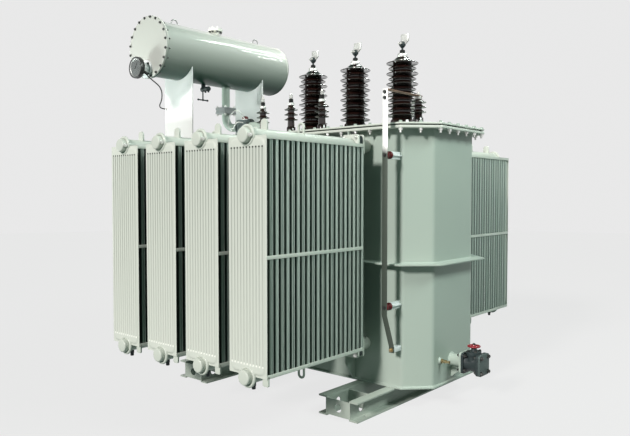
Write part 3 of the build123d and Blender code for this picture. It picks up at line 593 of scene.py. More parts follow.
def seat(origin: Sequence[float], outward: Sequence[float], up: Sequence[float] = UP) -> Matrix:
    """Makes a local frame.

    Args:
        origin: Where it lies.
        outward: The way of its Z axis.
        up: The way of its Y axis.

    Returns:
        The frame.
    """
    normal = Vector(outward).normalized()
    rise = Vector(up).normalized()
    rows = Matrix((rise.cross(normal), rise, normal)).transposed().to_4x4()
    return Matrix.Translation(Vector(origin)) @ rows


def upright(x: float, y: float, z: float) -> Matrix:
    """Returns a local frame that stands on a point with its Z axis up."""
    return Matrix.Translation((x, y, z))


def arc(radius: float, start: float, end: float, steps: int) -> Profile:
    """Returns points on an arc about the origin, from one angle to another, both included."""
    angles = [start + (end - start) * k / steps for k in range(steps + 1)]
    return [(radius * cos(a), radius * sin(a)) for a in angles]


def circle(radius: float, steps: int, phase: float = 0.0) -> Profile:
    """Returns points spaced evenly round the origin, the first of them a share of a step along."""
    angles = [2 * pi * (k + phase) / steps for k in range(steps)]
    return [(radius * cos(a), radius * sin(a)) for a in angles]


def rounded_loop(width: float, height: float, corner: float, steps: int = 4) -> Profile:
    """Makes a rectangle with round corners.

    Args:
        width: Full size along the first axis.
        height: Full size along the second axis.
        corner: Radius of the corners.
        steps: Straight pieces in each corner.

    Returns:
        The loop's points, counter-clockwise.
    """
    points = []
    for quarter, (sx, sy) in enumerate(((1, 1), (-1, 1), (-1, -1), (1, -1))):
        x, y = sx * (width / 2 - corner), sy * (height / 2 - corner)
        bend = arc(corner, pi / 2 * quarter, pi / 2 * (quarter + 1), steps)
        points += [(x + dx, y + dy) for dx, dy in bend]
    return points


def rounded_polygon(points: Profile, radius: float, steps: int = 4) -> Profile:
    """Bends each corner of a polygon round an arc.

    Args:
        points: The sharp corners, counter-clockwise.
        radius: Length along each side that a bend takes.
        steps: Straight pieces in each bend.

    Returns:
        The bent outline's points.
    """
    outline = []
    for before, here, after in zip(points[-1:] + points[:-1], points, points[1:] + points[:1]):
        corner = Vector(here)
        start = corner + (Vector(before) - corner).normalized() * radius
        end = corner + (Vector(after) - corner).normalized() * radius
        for step in range(steps + 1):
            t = step / steps
            outline.append(tuple((1 - t) ** 2 * start + 2 * t * (1 - t) * corner + t * t * end))
    return outline


def drum(radius: float, start: float, end: float, edge: float = 0.0) -> Profile:
    """Returns the profile of a drum between two levels, its upper edge cut where an edge is given."""
    rim = [(radius, end - edge), (radius - edge, end)] if edge else [(radius, end)]
    return [(0.0, start), (radius, start), *rim, (0.0, end)]


def bent_path(points: Sequence[Sequence[float]], radius: float, steps: int = 10) -> list[Vector]:
    """Bends the right-angled corners of a path round an arc.

    Args:
        points: The sharp path.
        radius: The bends' radius.
        steps: Straight pieces in each bend.

    Returns:
        The bent path's points.
    """
    sharp = [Vector(point) for point in points]
    path = [sharp[0]]
    for before, corner, after in zip(sharp, sharp[1:], sharp[2:]):
        back, ahead = (before - corner).normalized(), (after - corner).normalized()
        middle = corner + (back + ahead) * radius
        path += [middle - x * ahead - y * back for x, y in arc(radius, 0.0, pi / 2, steps)]
    return path + [sharp[-1]]


def bolt_circle(
    place: Matrix, radius: float, count: int, level: float, phase: float = 0.5, way: int = 1
) -> Places:
    """Spaces bolts evenly round a frame's Z axis.

    Args:
        place: The frame.
        radius: Radius of the circle that they stand on.
        count: How many there are.
        level: Height of the face that they stand on.
        phase: Place of the first one, as a share of a step.
        way: 1 for bolts that face as the frame does and -1 for bolts that face back.

    Returns:
        Pairs of a point and the way that the bolt stands out.
    """
    out = way * place.to_3x3().col[2]
    return [(place @ Vector((x, y, level)), out) for x, y in circle(radius, count, phase)]


def add_object(name: str, data: bpy.types.ID) -> Piece:
    """Adds an object to the scene.

    Args:
        name: The object's name.
        data: Its mesh, curve, light or camera.

    Returns:
        The object.
    """
    piece = bpy.data.objects.new(name, data)
    bpy.context.scene.collection.objects.link(piece)
    return piece


class Solid:
    """Collects the faces of one piece, placed in the part's frame."""

    weld_distance = 1e-6
    hole_steps = 20
    flat_angle = radians(1)
    bevel_angle = radians(40)

    def __init__(self) -> None:
        """Starts with no faces."""
        self.mesh = bmesh.new()

    def skin(self, rings: Sequence[list[Vector]], capped: bool = True) -> "Solid":
        """Skins a row of rings with equal counts of points.

        Args:
            rings: The rings in order, each counter-clockwise seen from the last one.
            capped: Whether the first and last rings are closed with a face.

        Returns:
            This solid.
        """
        rows = [[self.mesh.verts.new(point) for point in ring] for ring in rings]
        count = len(rows[0])
        for lower, upper in zip(rows, rows[1:]):
            for i in range(count):
                j = (i + 1) % count
                self.mesh.faces.new((lower[i], lower[j], upper[j], upper[i]))
        if capped:
            self.mesh.faces.new(list(reversed(rows[0])))
            self.mesh.faces.new(rows[-1])
        return self

    def plate(self, place: Matrix, outline: Sequence[Pair], start: float, end: float) -> "Solid":
        """Adds an outline pushed from one level to another along a frame's Z axis."""
        return self.skin([[place @ Vector((x, y, level)) for x, y in outline] for level in (start, end)])

    def nut(self, place: Matrix, radius: float, start: float, end: float) -> "Solid":
        """Adds a hexagon between two levels on a frame's Z axis."""
        return self.plate(place, circle(radius, 6), start, end)

    def sheet(
        self, place: Matrix, outline: Profile, holes: Sequence[Triple], start: float, end: float
    ) -> "Solid":
        """Adds a flat sheet with round holes through it.

        Args:
            place: The frame that the sheet lies in.
            outline: Its outer corners, counter-clockwise.
            holes: Each hole's centre and radius.
            start: Level of its lower face.
            end: Level of its upper face.

        Returns:
            This solid.
        """
        loops = [outline]
        for x, y, radius in holes:
            loops.append([(x + dx, y - dy) for dx, dy in circle(radius, self.hole_steps)])
        points, edges = [], []
        for loop in loops:
            first, count = len(points), len(loop)
            edges += [(first + i, first + (i + 1) % count) for i in range(count)]
            points += [Vector(point) for point in loop]
        flat, _, faces, *_ = delaunay_2d_cdt(points, edges, [], 5, 1e-7)
        lower, upper = (
            [self.mesh.verts.new(place @ Vector((*point, level))) for point in flat] for level in (start, end)
        )
        sides = {pair for face in faces for pair in zip(face, face[1:] + face[:1])}
        for face in faces:
            self.mesh.faces.new([upper[i] for i in face])
            self.mesh.faces.new([lower[i] for i in reversed(face)])
        for i, j in sides:
            if (j, i) not in sides:
                self.mesh.faces.new((lower[i], lower[j], upper[j], upper[i]))
        return self

    def block(self, place: Matrix, size: Sequence[float]) -> "Solid":
        """Adds a block centred on a frame."""
        x, y, z = (part / 2 for part in size)
        return self.plate(place, [(-x, -y), (x, -y), (x, y), (-x, y)], -z, z)

    def turn(self, place: Matrix, profile: Sequence[Pair], steps: int = 48) -> "Solid":
        """Turns a profile about a frame's Z axis.

        Args:
            place: The frame.
            profile: Pairs of radius and height, from one end on the axis to the other.
            steps: Straight pieces round the turn.

        Returns:
            This solid.
        """
        rows = []
        for radius, height in profile:
            ring = circle(radius, steps) if radius > self.weld_distance else [(0.0, 0.0)]
            rows.append([self.mesh.verts.new(place @ Vector((x, y, height))) for x, y in ring])
        for lower, upper in zip(rows, rows[1:]):
            for i in range(steps):
                j = (i + 1) % steps
                corners = ((lower, i), (lower, j), (upper, j), (upper, i))
                distinct = list(dict.fromkeys(ring[k % len(ring)] for ring, k in corners))
                if len(distinct) > 2:
                    self.mesh.faces.new(distinct)
        return self

    def tube(self, path: Sequence[Vector], radius: float, steps: int = 20, closed: bool = False) -> "Solid":
        """Adds a round bar along a path.

        Args:
            path: Points of the centre line.
            radius: The bar's radius.
            steps: Straight pieces round the bar.
            closed: Whether the path returns to its start.

        Returns:
            This solid.
        """
        count = len(path)
        rings = []
        across = None
        for i, point in enumerate(path):
            before = path[i - 1] if closed or i else point
            after = path[(i + 1) % count] if closed or i < count - 1 else point
            way = (after - before).normalized()
            if across is None:
                across = way.orthogonal().normalized()
            across = (across - across.project(way)).normalized()
            other = way.cross(across)
            rings.append([point + x * across + y * other for x, y in circle(radius, steps)])
        if closed:
            rings.append(rings[0])
        return self.skin(rings, capped=not closed)

    def copy_of(self, node: str) -> "Solid":
        """Adds a merged copy of a CAD node's mesh, with its flat faces made whole.

        Args:
            node: The node's name.

        Returns:
            This solid.
        """
        mesh = self.mesh
        mesh.from_mesh(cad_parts[node].data)
        bmesh.ops.remove_doubles(mesh, verts=mesh.verts, dist=self.weld_distance)
        bmesh.ops.dissolve_limit(mesh, angle_limit=self.flat_angle, verts=mesh.verts, edges=mesh.edges)
        return self

    def data(self, name: str) -> Mesh:
        """Hands the faces over as a mesh.

        Args:
            name: The mesh's name.

        Returns:
            The mesh.
        """
        data = bpy.data.meshes.new(name)
        self.mesh.to_mesh(data)
        self.mesh.free()
        return data

    def show(
        self, name: str, finish: Finish, replaces: Sequence[str] = (), bevel: float = 0.0,
        smooth: float = 32.0, body: str = BODY,
    ) -> None:
        """Turns the faces into a finished piece that rides on a body.

        Args:
            name: The piece's name.
            finish: Its finish.
            replaces: CAD nodes that it stands for.
            bevel: Width of the rounding on its sharp edges.
            smooth: Edges flatter than this many degrees are shaded smooth.
            body: The CAD body that it rides on.
        """
        bmesh.ops.remove_doubles(self.mesh, verts=self.mesh.verts, dist=self.weld_distance)
        bmesh.ops.recalc_face_normals(self.mesh, faces=self.mesh.faces)
        piece = add_object(name, self.data(name))
        if bevel:
            rounding = piece.modifiers.new("rounding", "BEVEL")
            rounding.width = bevel
            rounding.segments = 2
            rounding.limit_method = "ANGLE"
            rounding.angle_limit = self.bevel_angle
            bake(piece)
        dress(piece, finish, replaces, smooth, body)


def bake(piece: Piece) -> None:
    """Makes a piece's modifiers part of its mesh and removes them.

    Args:
        piece: The piece.
    """
    graph = bpy.context.evaluated_depsgraph_get()
    data = bpy.data.meshes.new_from_object(piece.evaluated_get(graph))
    piece.modifiers.clear()
    piece.data = data


def dress(piece: Piece, finish: Finish, replaces: Sequence[str], smooth: float, body: str = BODY) -> None:
    """Gives a piece its finish, shading and body.

    Args:
        piece: The piece, with its final mesh.
        finish: Its finish.
        replaces: CAD nodes that it stands for.
        smooth: Edges flatter than this many degrees are shaded smooth.
        body: The CAD body that it rides on.
    """
    piece.data.materials.clear()
    piece.data.materials.append(finish.material)
    piece.data.shade_smooth()
    piece.data.set_sharp_from_angle(angle=radians(smooth))
    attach(piece, body)
    if replaces:
        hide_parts(*replaces)
    log.info("%s: %d faces, %s", piece.name, len(piece.data.polygons), finish.name.lower())


# Repeats


class Repeat(Graph):
    """A Geometry Nodes tree with named inputs, run once on a carrier mesh."""

    def __init__(self, name: str, inputs: dict[str, str]) -> None:
        """Creates the tree with its inputs.

        Args:
            name: The tree's name.
            inputs: Socket types by input name, beside the carrier's geometry.
        """
        super().__init__(bpy.data.node_groups.new(name, "GeometryNodeTree"))
        sides = self.tree.interface
        sides.new_socket("Geometry", in_out="INPUT", socket_type="NodeSocketGeometry")
        self.keys = {
            label: sides.new_socket(label, in_out="INPUT", socket_type=kind).identifier
            for label, kind in {**inputs, "Material": "NodeSocketMaterial"}.items()
        }
        sides.new_socket("Geometry", in_out="OUTPUT", socket_type="NodeSocketGeometry")
        self.given = self.add("NodeGroupInput", {}, {}).outputs

    def close(self, points: Socket, sockets: dict[str, object]) -> None:
        """Ends the tree: instances on points become real and take the material.

        Args:
            points: The points.
            sockets: What stands on them, and how it is turned.
        """
        placed = self.add("GeometryNodeInstanceOnPoints", {}, {"Points": points, **sockets})
        real = self.add("GeometryNodeRealizeInstances", {}, {"Geometry": placed.outputs["Instances"]})
        painted = self.add(
            "GeometryNodeSetMaterial", {},
            {"Geometry": real.outputs["Geometry"], "Material": self.given["Material"]},
        )
        self.add("NodeGroupOutput", {}, {"Geometry": painted.outputs["Geometry"]})

    def run(self, carrier: Mesh, name: str, finish: Finish, values: dict[str, object], smooth: float) -> None:
        """Runs the tree on a mesh and dresses the result as a piece with a plain mesh.

        Args:
            carrier: The mesh that the tree reads.
            name: The new piece's name.
            finish: Its finish.
            values: The tree's inputs by name.
            smooth: Edges flatter than this many degrees are shaded smooth.
        """
        piece = add_object(name, carrier)
        modifier = piece.modifiers.new(name, "NODES")
        modifier.node_group = self.tree
        for label, value in {**values, "Material": finish.material}.items():
            modifier[self.keys[label]] = value
        bake(piece)
        dress(piece, finish, (), smooth)


class Bolts(Repeat):
    """Hexagon bolts on points: a washer, a head or nut, and the stud's end."""

    head = (0.9, 0.75)
    washer = (1.05, 0.18)
    stud_radius = 0.46
    seed = 7

    def __init__(self) -> None:
        """Builds the tree, whose sizes are shares of the thread's diameter."""
        super().__init__("bolts", {"Thread": "NodeSocketFloat", "Stud Length": "NodeSocketFloat"})
        thread, stud = Value(self, self.given["Thread"]), Value(self, self.given["Stud Length"])
        head, washer = thread * self.head[1], thread * self.washer[1]
        parts = [
            self._drum(6, thread * self.head[0], head, washer + head * 0.5),
            self._drum(16, thread * self.washer[0], washer, washer * 0.5),
            self._drum(10, thread * self.stud_radius, stud, stud * 0.5),
        ]
        joined = self.add("GeometryNodeJoinGeometry", {}, {})
        for part in parts:
            self.tree.links.new(part, joined.inputs["Geometry"])
        way = self.add("GeometryNodeInputNamedAttribute", {"data_type": "FLOAT_VECTOR"}, {"Name": "way"})
        aligned = self.add(
            "FunctionNodeAlignRotationToVector", {"axis": "Z"}, {"Vector": way.outputs["Attribute"]}
        )
        spin = self.add(
            "FunctionNodeRandomValue", {"data_type": "FLOAT"}, {"Min": 0.0, "Max": pi / 3, "Seed": self.seed}
        )
        turned = self.add("FunctionNodeAxisAngleToRotation", {}, {"Axis": UP, "Angle": spin.outputs[1]})
        facing = self.add(
            "FunctionNodeRotateRotation", {"rotation_space": "LOCAL"},
            {"Rotation": aligned.outputs["Rotation"], "Rotate By": turned.outputs["Rotation"]},
        )
        points = self.add("GeometryNodeMeshToPoints", {}, {"Mesh": self.given["Geometry"]})
        self.close(points.outputs["Points"], {
            "Instance": joined.outputs["Geometry"], "Rotation": facing.outputs["Rotation"],
        })

    def _drum(self, sides: int, radius: Value, depth: Value, middle: Value) -> Socket:
        """Adds a prism.

        Args:
            sides: How many sides it has.
            radius: Its radius.
            depth: Its height.
            middle: The level of its middle.

        Returns:
            The prism's geometry.
        """
        prism = self.add(
            "GeometryNodeMeshCylinder", {}, {"Vertices": sides, "Radius": radius, "Depth": depth}
        )
        lift = self.add("ShaderNodeCombineXYZ", {}, {"Z": middle}).outputs["Vector"]
        sockets = {"Geometry": prism.outputs["Mesh"], "Translation": lift}
        return self.add("GeometryNodeTransform", {}, sockets).outputs["Geometry"]


class Row(Repeat):
    """Copies of a carrier mesh in a straight row."""

    def __init__(self) -> None:
        """Builds the tree."""
        super().__init__("row", {"Count": "NodeSocketInt", "Step": "NodeSocketVector"})
        line = self.add(
            "GeometryNodeMeshLine", {"mode": "OFFSET", "count_mode": "TOTAL"},
            {"Count": self.given["Count"], "Offset": self.given["Step"]},
        )
        self.close(line.outputs["Mesh"], {"Instance": self.given["Geometry"]})


@cache
def repeat(kind: type[Repeat]) -> Repeat:
    """Returns the one tree of its kind, built the first time that it is asked for."""
    return kind()


def bolt(name: str, places: Places, size: float, stud: float, finish: Finish = Finish.FASTENER) -> None:
    """Adds a set of bolts as one piece.

    Args:
        name: The set's name.
        places: Pairs of a point and the way that the bolt stands out of the surface.
        size: The thread's diameter.
        stud: The stud's length in thread diameters.
        finish: The bolts' finish.
    """
    points, ways = zip(*places)
    carrier = bpy.data.meshes.new(name)
    carrier.from_pydata([tuple(point) for point in points], [], [])
    way = carrier.attributes.new("way", "FLOAT_VECTOR", "POINT")
    way.data.foreach_set("vector", [part for vector in ways for part in vector])
    repeat(Bolts).run(carrier, name, finish, {"Thread": size, "Stud Length": size * stud}, smooth=25.0)


# Sub-assemblies


def round_off(node: str, name: str, finish: Finish, edge: float, smooth: float = 32.0) -> None:
    """Shows a CAD node in its own shape, with its sharp edges rounded."""
    Solid().copy_of(node).show(name, finish, [node], edge, smooth)


def cover_level() -> float:
    """Returns the level of the tank cover's top."""
    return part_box("tank_cover")[1].z


@dataclass
class Tank:
    """The eight-sided tank with its rim, gasket, cover, band, ribs and bolts."""

    length: float = 2.130
    width: float = 0.860
    corner: float = 0.1565
    bend: float = 0.022
    plate_bend: float = 0.006
    foot_bend: float = 0.004
    plate_edge: float = 0.003
    rib_edge: float = 0.002
    bolt_size: float = 0.016
    head_size: float = 0.0128
    bolt_inset: float = 0.020
    bolt_step: float = 0.128
    weld: float = 0.007

    def outline(self, overhang: float) -> Profile:
        """Draws the tank's plan.

        Args:
            overhang: How far the plan is grown all round.

        Returns:
            Its eight corners.
        """
        leg = self.corner + overhang * (2 - sqrt(2))
        x, y = self.length / 2 + overhang, self.width / 2 + overhang
        quarter = [(x, y - leg), (x - leg, y)]
        half = quarter + [(-b, a) for b, a in reversed(quarter)]
        return half + [(-a, -b) for a, b in half]

    def plate(self, node: str, bend: float, edge: float, finish: Finish = Finish.TANK) -> None:
        """Replaces one eight-sided node by a piece with bent corners.

        Args:
            node: The node.
            bend: Size of the bends at its corners.
            edge: Width of the rounding on its edges.
            finish: Its finish.
        """
        low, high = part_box(node)
        outline = rounded_polygon(self.outline(high.x - self.length / 2), bend)
        Solid().plate(Matrix(), outline, low.z, high.z).show(f"{node}_plate", finish, [node], edge)

    def weld_bead(self, name: str, level: float, rise: int) -> None:
        """Adds a weld bead round the wall.

        Args:
            name: The bead's name.
            level: Level of the plate that it lies on.
            rise: 1 for a bead above the plate and -1 for a bead below it.
        """
        inner, outer = (rounded_polygon(self.outline(overhang), self.bend) for overhang in (0, self.weld))
        rows = ((inner, level), (outer, level), (inner, level + rise * self.weld))
        rings = [[Vector((*point, height)) for point in loop] for loop, height in rows]
        Solid().skin(rings, capped=False).show(name, Finish.TANK, smooth=60)

    def edge_places(self, overhang: float, level: float, way: int) -> Places:
        """Spaces bolts evenly along the cover's edge.

        Args:
            overhang: How far outside the wall the bolts stand.
            level: Height of the face that they stand on.
            way: 1 for bolts that stand up and -1 for bolts that hang.

        Returns:
            Pairs of a point and the bolt's way.
        """
        corners = [Vector(point) for point in self.outline(overhang)]
        places = []
        for here, after in zip(corners, corners[1:] + corners[:1]):
            count = max(1, round((after - here).length / self.bolt_step))
            points = [here.lerp(after, i / count) for i in range(count)]
            places += [(Vector((*point, level)), way * UP) for point in points]
        return places

    def build(self) -> None:
        """Builds the tank's plates, beads and bolts."""
        self.plate("tank_bottom_plate", self.foot_bend, self.rib_edge)
        self.plate("tank_wall", self.bend, 0.0)
        # The rim and the cover take the paler radiator enamel as a painted highlight on their edges.
        self.plate("tank_rim", self.plate_bend, self.plate_edge, Finish.RADIATOR)
        self.plate("cover_gasket", self.plate_bend, 0.0, Finish.GASKET)
        self.plate("tank_cover", self.plate_bend, self.plate_edge, Finish.RADIATOR)
        self.plate("stiffener_band", self.plate_bend, self.plate_edge)
        round_off("wall_ribs", "wall_ribs_plates", Finish.TANK, self.rib_edge)
        band_low, band_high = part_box("stiffener_band")
        self.weld_bead("bottom_weld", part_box("tank_wall")[0].z, 1)
        self.weld_bead("band_lower_weld", band_low.z, -1)
        self.weld_bead("band_upper_weld", band_high.z, 1)
        rim_low, rim_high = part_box("tank_rim")
        overhang = rim_high.x - self.length / 2 - self.bolt_inset
        heads = self.edge_places(overhang, cover_level(), 1)
        bolt("cover_bolt_heads", heads, self.head_size, stud=0.9, finish=Finish.TANK)
        bolt("cover_bolt_nuts", self.edge_places(overhang, rim_low.z, -1), self.bolt_size, stud=1.9)


@dataclass
class Skids:
    """The two channel skids."""

    nodes: tuple[str, str] = ("skid_drain_end", "skid_conservator_end")
    edge: float = 0.003

    def build(self) -> None:
        """Builds both skids with rolled edges."""
        for node in self.nodes:
            round_off(node, f"{node}_rolled", Finish.SKID, self.edge)


@dataclass
class Radiator:
    """One panel radiator: pressed fins in tie strips, with two header pipes."""

    node: str
    width: float = 0.310
    inner_width: float = 0.3014
    height: float = 1.369
    foot: float = 0.417
    fin_count: int = 21
    pitch: float = 0.045
    thickness: float = 0.014
    seam: float = 0.003
    rim: float = 0.012
    slope: float = 0.008
    field_corner: float = 0.042
    fin_corner: float = 0.014
    fin_bulge: float = 0.024
    fin_round: float = 0.005
    fin_groove: Pair = (0.002, 0.011)
    groove_count: int = 11
    groove_pitch: float = 0.0252
    groove_half: float = 0.006
    groove_depth: float = 0.006
    plain_end: float = 0.060
    groove_end: float = 0.003
    header_radius: float = 0.0445
    header_above_top: float = 0.004
    header_below_foot: float = 0.009
    cap_reach: float = 0.035
    cap_edge: float = 0.010
    collar_radius: float = 0.065
    collar_height: float = 0.006
    strip_height: float = 0.022
    strip_thickness: float = 0.004
    lug_inset: float = 0.139
    lug_width: float = 0.052
    lug_height: float = 0.062
    lug_thickness: float = 0.012
    lug_hole: float = 0.009
    ring_inset: float = 0.460
    ring_width: float = 0.058
    ring_bar: float = 0.015
    ring_height: float = 0.067
    tab_width: float = 0.045
    tab_height: float = 0.046
    tab_corner: float = 0.010
    tab_hole: float = 0.007
    plug_inset: float = 0.052
    plug_radius: float = 0.014
    plug_length: float = 0.038
    vent_size: float = 0.013
    flange_side: float = 0.140
    flange_corner: float = 0.018
    flange_thickness: float = 0.016
    edge: float = 0.0015

    def __post_init__(self) -> None:
        """Works out the radiator's side, place and levels from its CAD node."""
        low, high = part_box(self.node)
        self.side = -1 if low.y < 0 else 1
        self.centre = (low.x + high.x) / 2
        self.face = max(abs(low.y), abs(high.y)) - self.cap_reach
        self.back = min(abs(low.y), abs(high.y))
        self.top = self.foot + self.height
        self.levels = (self.foot - self.header_below_foot, self.top + self.header_above_top)

    def at(self, out: float, level: float, across: float = 0.0) -> Matrix:
        """Returns a frame that faces out from the tank, at a distance and a level."""
        return seat((self.centre - self.side * across, self.side * out, level), (0, self.side, 0))

    def fin_section(self, grooved: bool) -> Profile:
        """Draws half of a fin's section.

        Args:
            grooved: Whether the fin has a groove in its edge.

        Returns:
            Pairs of inset and height.
        """
        radius = self.fin_round
        centre = self.fin_bulge / 2 - radius
        quarters = 2 if grooved else 1
        bend = arc(radius, pi / 2 * (1 - quarters), pi / 2, 3 * quarters)
        section = [(radius - x, centre + y) for x, y in bend]
        half_groove, depth = self.fin_groove
        return [(depth, half_groove), *section] if grooved else section

    def fin(self, kind: int) -> Mesh:
        """Builds one of the two inner fins that take turns.

        Args:
            kind: 0 for the grooved fin, next to the outer panel, and 1 for the plain one behind it.

        Returns:
            The fin's mesh.
        """
        half = self.fin_section(kind == 0)
        section = [(inset, -level) for inset, level in reversed(half)] + half
        place = self.at(self.face - self.thickness / 2 - self.pitch * (1 + kind), self.foot + self.height / 2)
        rings = []
        for inset, level in section:
            width, height = self.inner_width - 2 * inset, self.height - 2 * inset
            loop = rounded_loop(width, height, self.fin_corner - inset, 3)
            rings.append([place @ Vector((x, y, level)) for x, y in loop])
        return Solid().skin(rings).data(f"{self.node}_fin")

    def fins(self) -> None:
        """Builds the inner fins, in two rows that take turns."""
        step = Vector((0, -2 * self.side * self.pitch, 0))
        values = {"Count": (self.fin_count - 1) // 2, "Step": step}
        for kind, label in enumerate(("first", "second")):
            repeat(Row).run(self.fin(kind), f"{self.node}_{label}_fins", Finish.FIN, values, smooth=40.0)

    def relief(self, x: float, y: float) -> float:
        """Works out the outer panel's height over its seam plane.

        Args:
            x: Place across the panel, from its middle.
            y: Place along the panel, from its middle.

        Returns:
            The height of the pressed sheet.
        """
        half_width, half_height = self.width / 2 - self.rim, self.height / 2 - self.rim
        dx = max(abs(x) - half_width + self.field_corner, 0.0)
        dy = max(abs(y) - half_height + self.field_corner, 0.0)
        inside = self.field_corner - sqrt(dx * dx + dy * dy)
        if dx == 0.0 or dy == 0.0:
            inside = min(half_width - abs(x), half_height - abs(y))
        share = min(max(inside / self.slope, 0.0), 1.0)
        level = self.seam / 2 + (self.thickness - self.seam) / 2 * share * share * (3 - 2 * share)
        nearest = round(x / self.groove_pitch)
        limit = self.groove_count // 2
        offset = abs(x - max(-limit, min(limit, nearest)) * self.groove_pitch)
        if offset < self.groove_half:
            run = (self.height / 2 - self.plain_end - abs(y)) / self.groove_end
            depth = self.groove_depth * min(max(run, 0.0), 1.0)
            level -= depth * (1 + cos(pi * offset / self.groove_half)) / 2
        return level

    def grid(self) -> tuple[list[float], list[float]]:
        """Chooses the lines across and along the panel on which its relief is worked out.

        Returns:
            The places across it and the places along it.
        """
        slope = (0.25, 0.5, 0.75, 1.0)
        half = self.width / 2
        across = [half, half - self.rim] + [half - self.rim - self.slope * share for share in slope]
        for number in range(self.groove_count // 2 + 1):
            flanks = (-1.0, -0.6, -0.3, 0.0, 0.3, 0.6, 1.0)
            across += [number * self.groove_pitch + self.groove_half * share for share in flanks]
        half = self.height / 2
        along = [0.0, half, half - self.rim] + [half - self.rim - self.slope * share for share in slope]
        along += [half - self.rim - self.field_corner * share for share in (0.45, 0.7, 1.0)]
        along += [half - self.plain_end - self.groove_end * share for share in (0.0, *slope)]
        return tuple(sorted({round(way * x, 6) for x in line for way in (1, -1)}) for line in (across, along))

    def panel(self) -> None:
        """Builds the outer fin with its vertical grooves, both sides alike."""
        columns, rows = self.grid()
        place = self.at(self.face - self.thickness / 2, self.foot + self.height / 2)
        solid = Solid()
        grids = [
            [
                [solid.mesh.verts.new(place @ Vector((x, y, way * self.relief(x, y)))) for x in columns]
                for y in rows
            ]
            for way in (1, -1)
        ]
        for way, grid in zip((1, -1), grids):
            for lower, upper in zip(grid, grid[1:]):
                for i in range(len(columns) - 1):
                    corners = [lower[i], lower[i + 1], upper[i + 1], upper[i]]
                    solid.mesh.faces.new(corners[::way])
        front, rear = (
            g[0][:-1] + [row[-1] for row in g[:-1]] + g[-1][:0:-1] + [row[0] for row in g[:0:-1]]
            for g in grids
        )
        for i in range(len(front)):
            solid.mesh.faces.new((rear[i - 1], rear[i], front[i], front[i - 1]))
        solid.show(f"{self.node}_panel", Finish.PANEL, smooth=40)

    def headers(self) -> None:
        """Builds the two header pipes with their round-edged caps, pressed collars and flanges."""
        solid = Solid()
        edge, radius = self.cap_edge, self.header_radius
        reach = self.face + self.cap_reach - self.back
        cap = [(radius - edge + x, reach - edge + y) for x, y in arc(edge, 0.0, pi / 2, 4)]
        pipe = [(0.0, 0.0), (radius, 0.0), *cap, (0.0, reach)]
        middle, half = (self.collar_radius + radius) / 2, (self.collar_radius - radius) / 2
        rise = self.thickness / 2 + self.collar_height
        bead = [(middle + half * x, rise * y) for x, y in arc(1.0, 0.0, pi, 10)]
        flange = rounded_loop(self.flange_side, self.flange_side, self.flange_corner)
        for level in self.levels:
            solid.turn(self.at(self.back, level), pipe)
            solid.turn(self.at(self.face - self.thickness / 2, level), [*bead, bead[0]])
            solid.plate(self.at(self.back, level), flange, 0.0, self.flange_thickness)
        solid.show(f"{self.node}_headers", Finish.RADIATOR, [self.node], self.edge, smooth=40)

    def strips(self) -> None:
        """Builds the tie strips on both sides of the fins."""
        solid = Solid()
        run = (self.fin_count - 1) * self.pitch
        middle = self.face - self.thickness / 2 - run / 2
        across = (self.width - self.strip_thickness) / 2
        inset = self.strip_height / 2
        for level in (self.foot + inset, self.foot + self.height / 2, self.top - inset):
            for hand in (-1, 1):
                place = self.at(middle, level, hand * across)
                solid.block(place, (self.strip_thickness, self.strip_height, run))
        solid.show(f"{self.node}_strips", Finish.RADIATOR, bevel=self.edge / 2)

    def lugs(self) -> None:
        """Builds the lifting lug, the two bent rings and the holed tab."""
        solid = Solid()
        radius = self.lug_width / 2
        eye = self.header_radius + self.lug_height - radius
        arch = [(x, eye + y) for x, y in arc(radius, 0.0, pi, 14)]
        solid.sheet(
            self.at(self.face - self.lug_inset, self.levels[1]), [(radius, 0.0), *arch, (-radius, 0.0)],
            [(0.0, eye, self.lug_hole)], -self.lug_thickness, 0.0,
        )
        bend = (self.ring_width - self.ring_bar) / 2
        crown = self.header_radius + self.ring_height - self.ring_width / 2
        arch = [(x, crown + y) for x, y in arc(bend, 0.0, pi, 14)]
        for level, way in zip(self.levels, (-1, 1)):
            place = self.at(self.face - self.ring_inset - self.ring_bar / 2, level)
            path = [place @ Vector((x, way * y, 0)) for x, y in [(bend, 0.0), *arch, (-bend, 0.0)]]
            solid.tube(path, self.ring_bar / 2, 12)
        drop = self.tab_height + self.strip_height
        level, across = self.foot + self.strip_height - drop / 2, (self.width - self.tab_width) / 2
        hole = (0.0, -drop / 2 + self.tab_height / 2, self.tab_hole)
        outline = rounded_loop(self.tab_width, drop, self.tab_corner)
        place = self.at(self.face - self.thickness, level, across)
        solid.sheet(place, outline, [hole], -self.lug_thickness, 0.0)
        solid.show(f"{self.node}_lugs", Finish.RADIATOR, bevel=self.edge)

    def plug(self) -> None:
        """Builds the dark drain plug under the bottom header."""
        origin = (self.centre, self.side * (self.face - self.plug_inset), self.levels[0] - self.header_radius)
        place = seat(origin, -UP, (0, 1, 0))
        radius, middle = self.plug_radius, self.plug_length / 2
        solid = Solid().turn(place, drum(radius, -radius, middle), 24)
        solid.nut(place, radius * 0.9, middle, self.plug_length)
        solid.show(f"{self.node}_drain_plug", Finish.VALVE, bevel=self.edge)

    def vent(self) -> None:
        """Adds the small plug on the top cap's side."""
        place = self.at(self.face + self.cap_reach / 2, self.levels[1])
        side = place @ Vector((self.header_radius, 0, 0)), place.to_3x3().col[0]
        bolt(f"{self.node}_vent_plug", [side], self.vent_size, stud=1.1)

    def build(self) -> None:
        """Builds the radiator."""
        self.fins()
        self.panel()
        self.headers()
        self.strips()
        self.lugs()
        self.plug()
        self.vent()


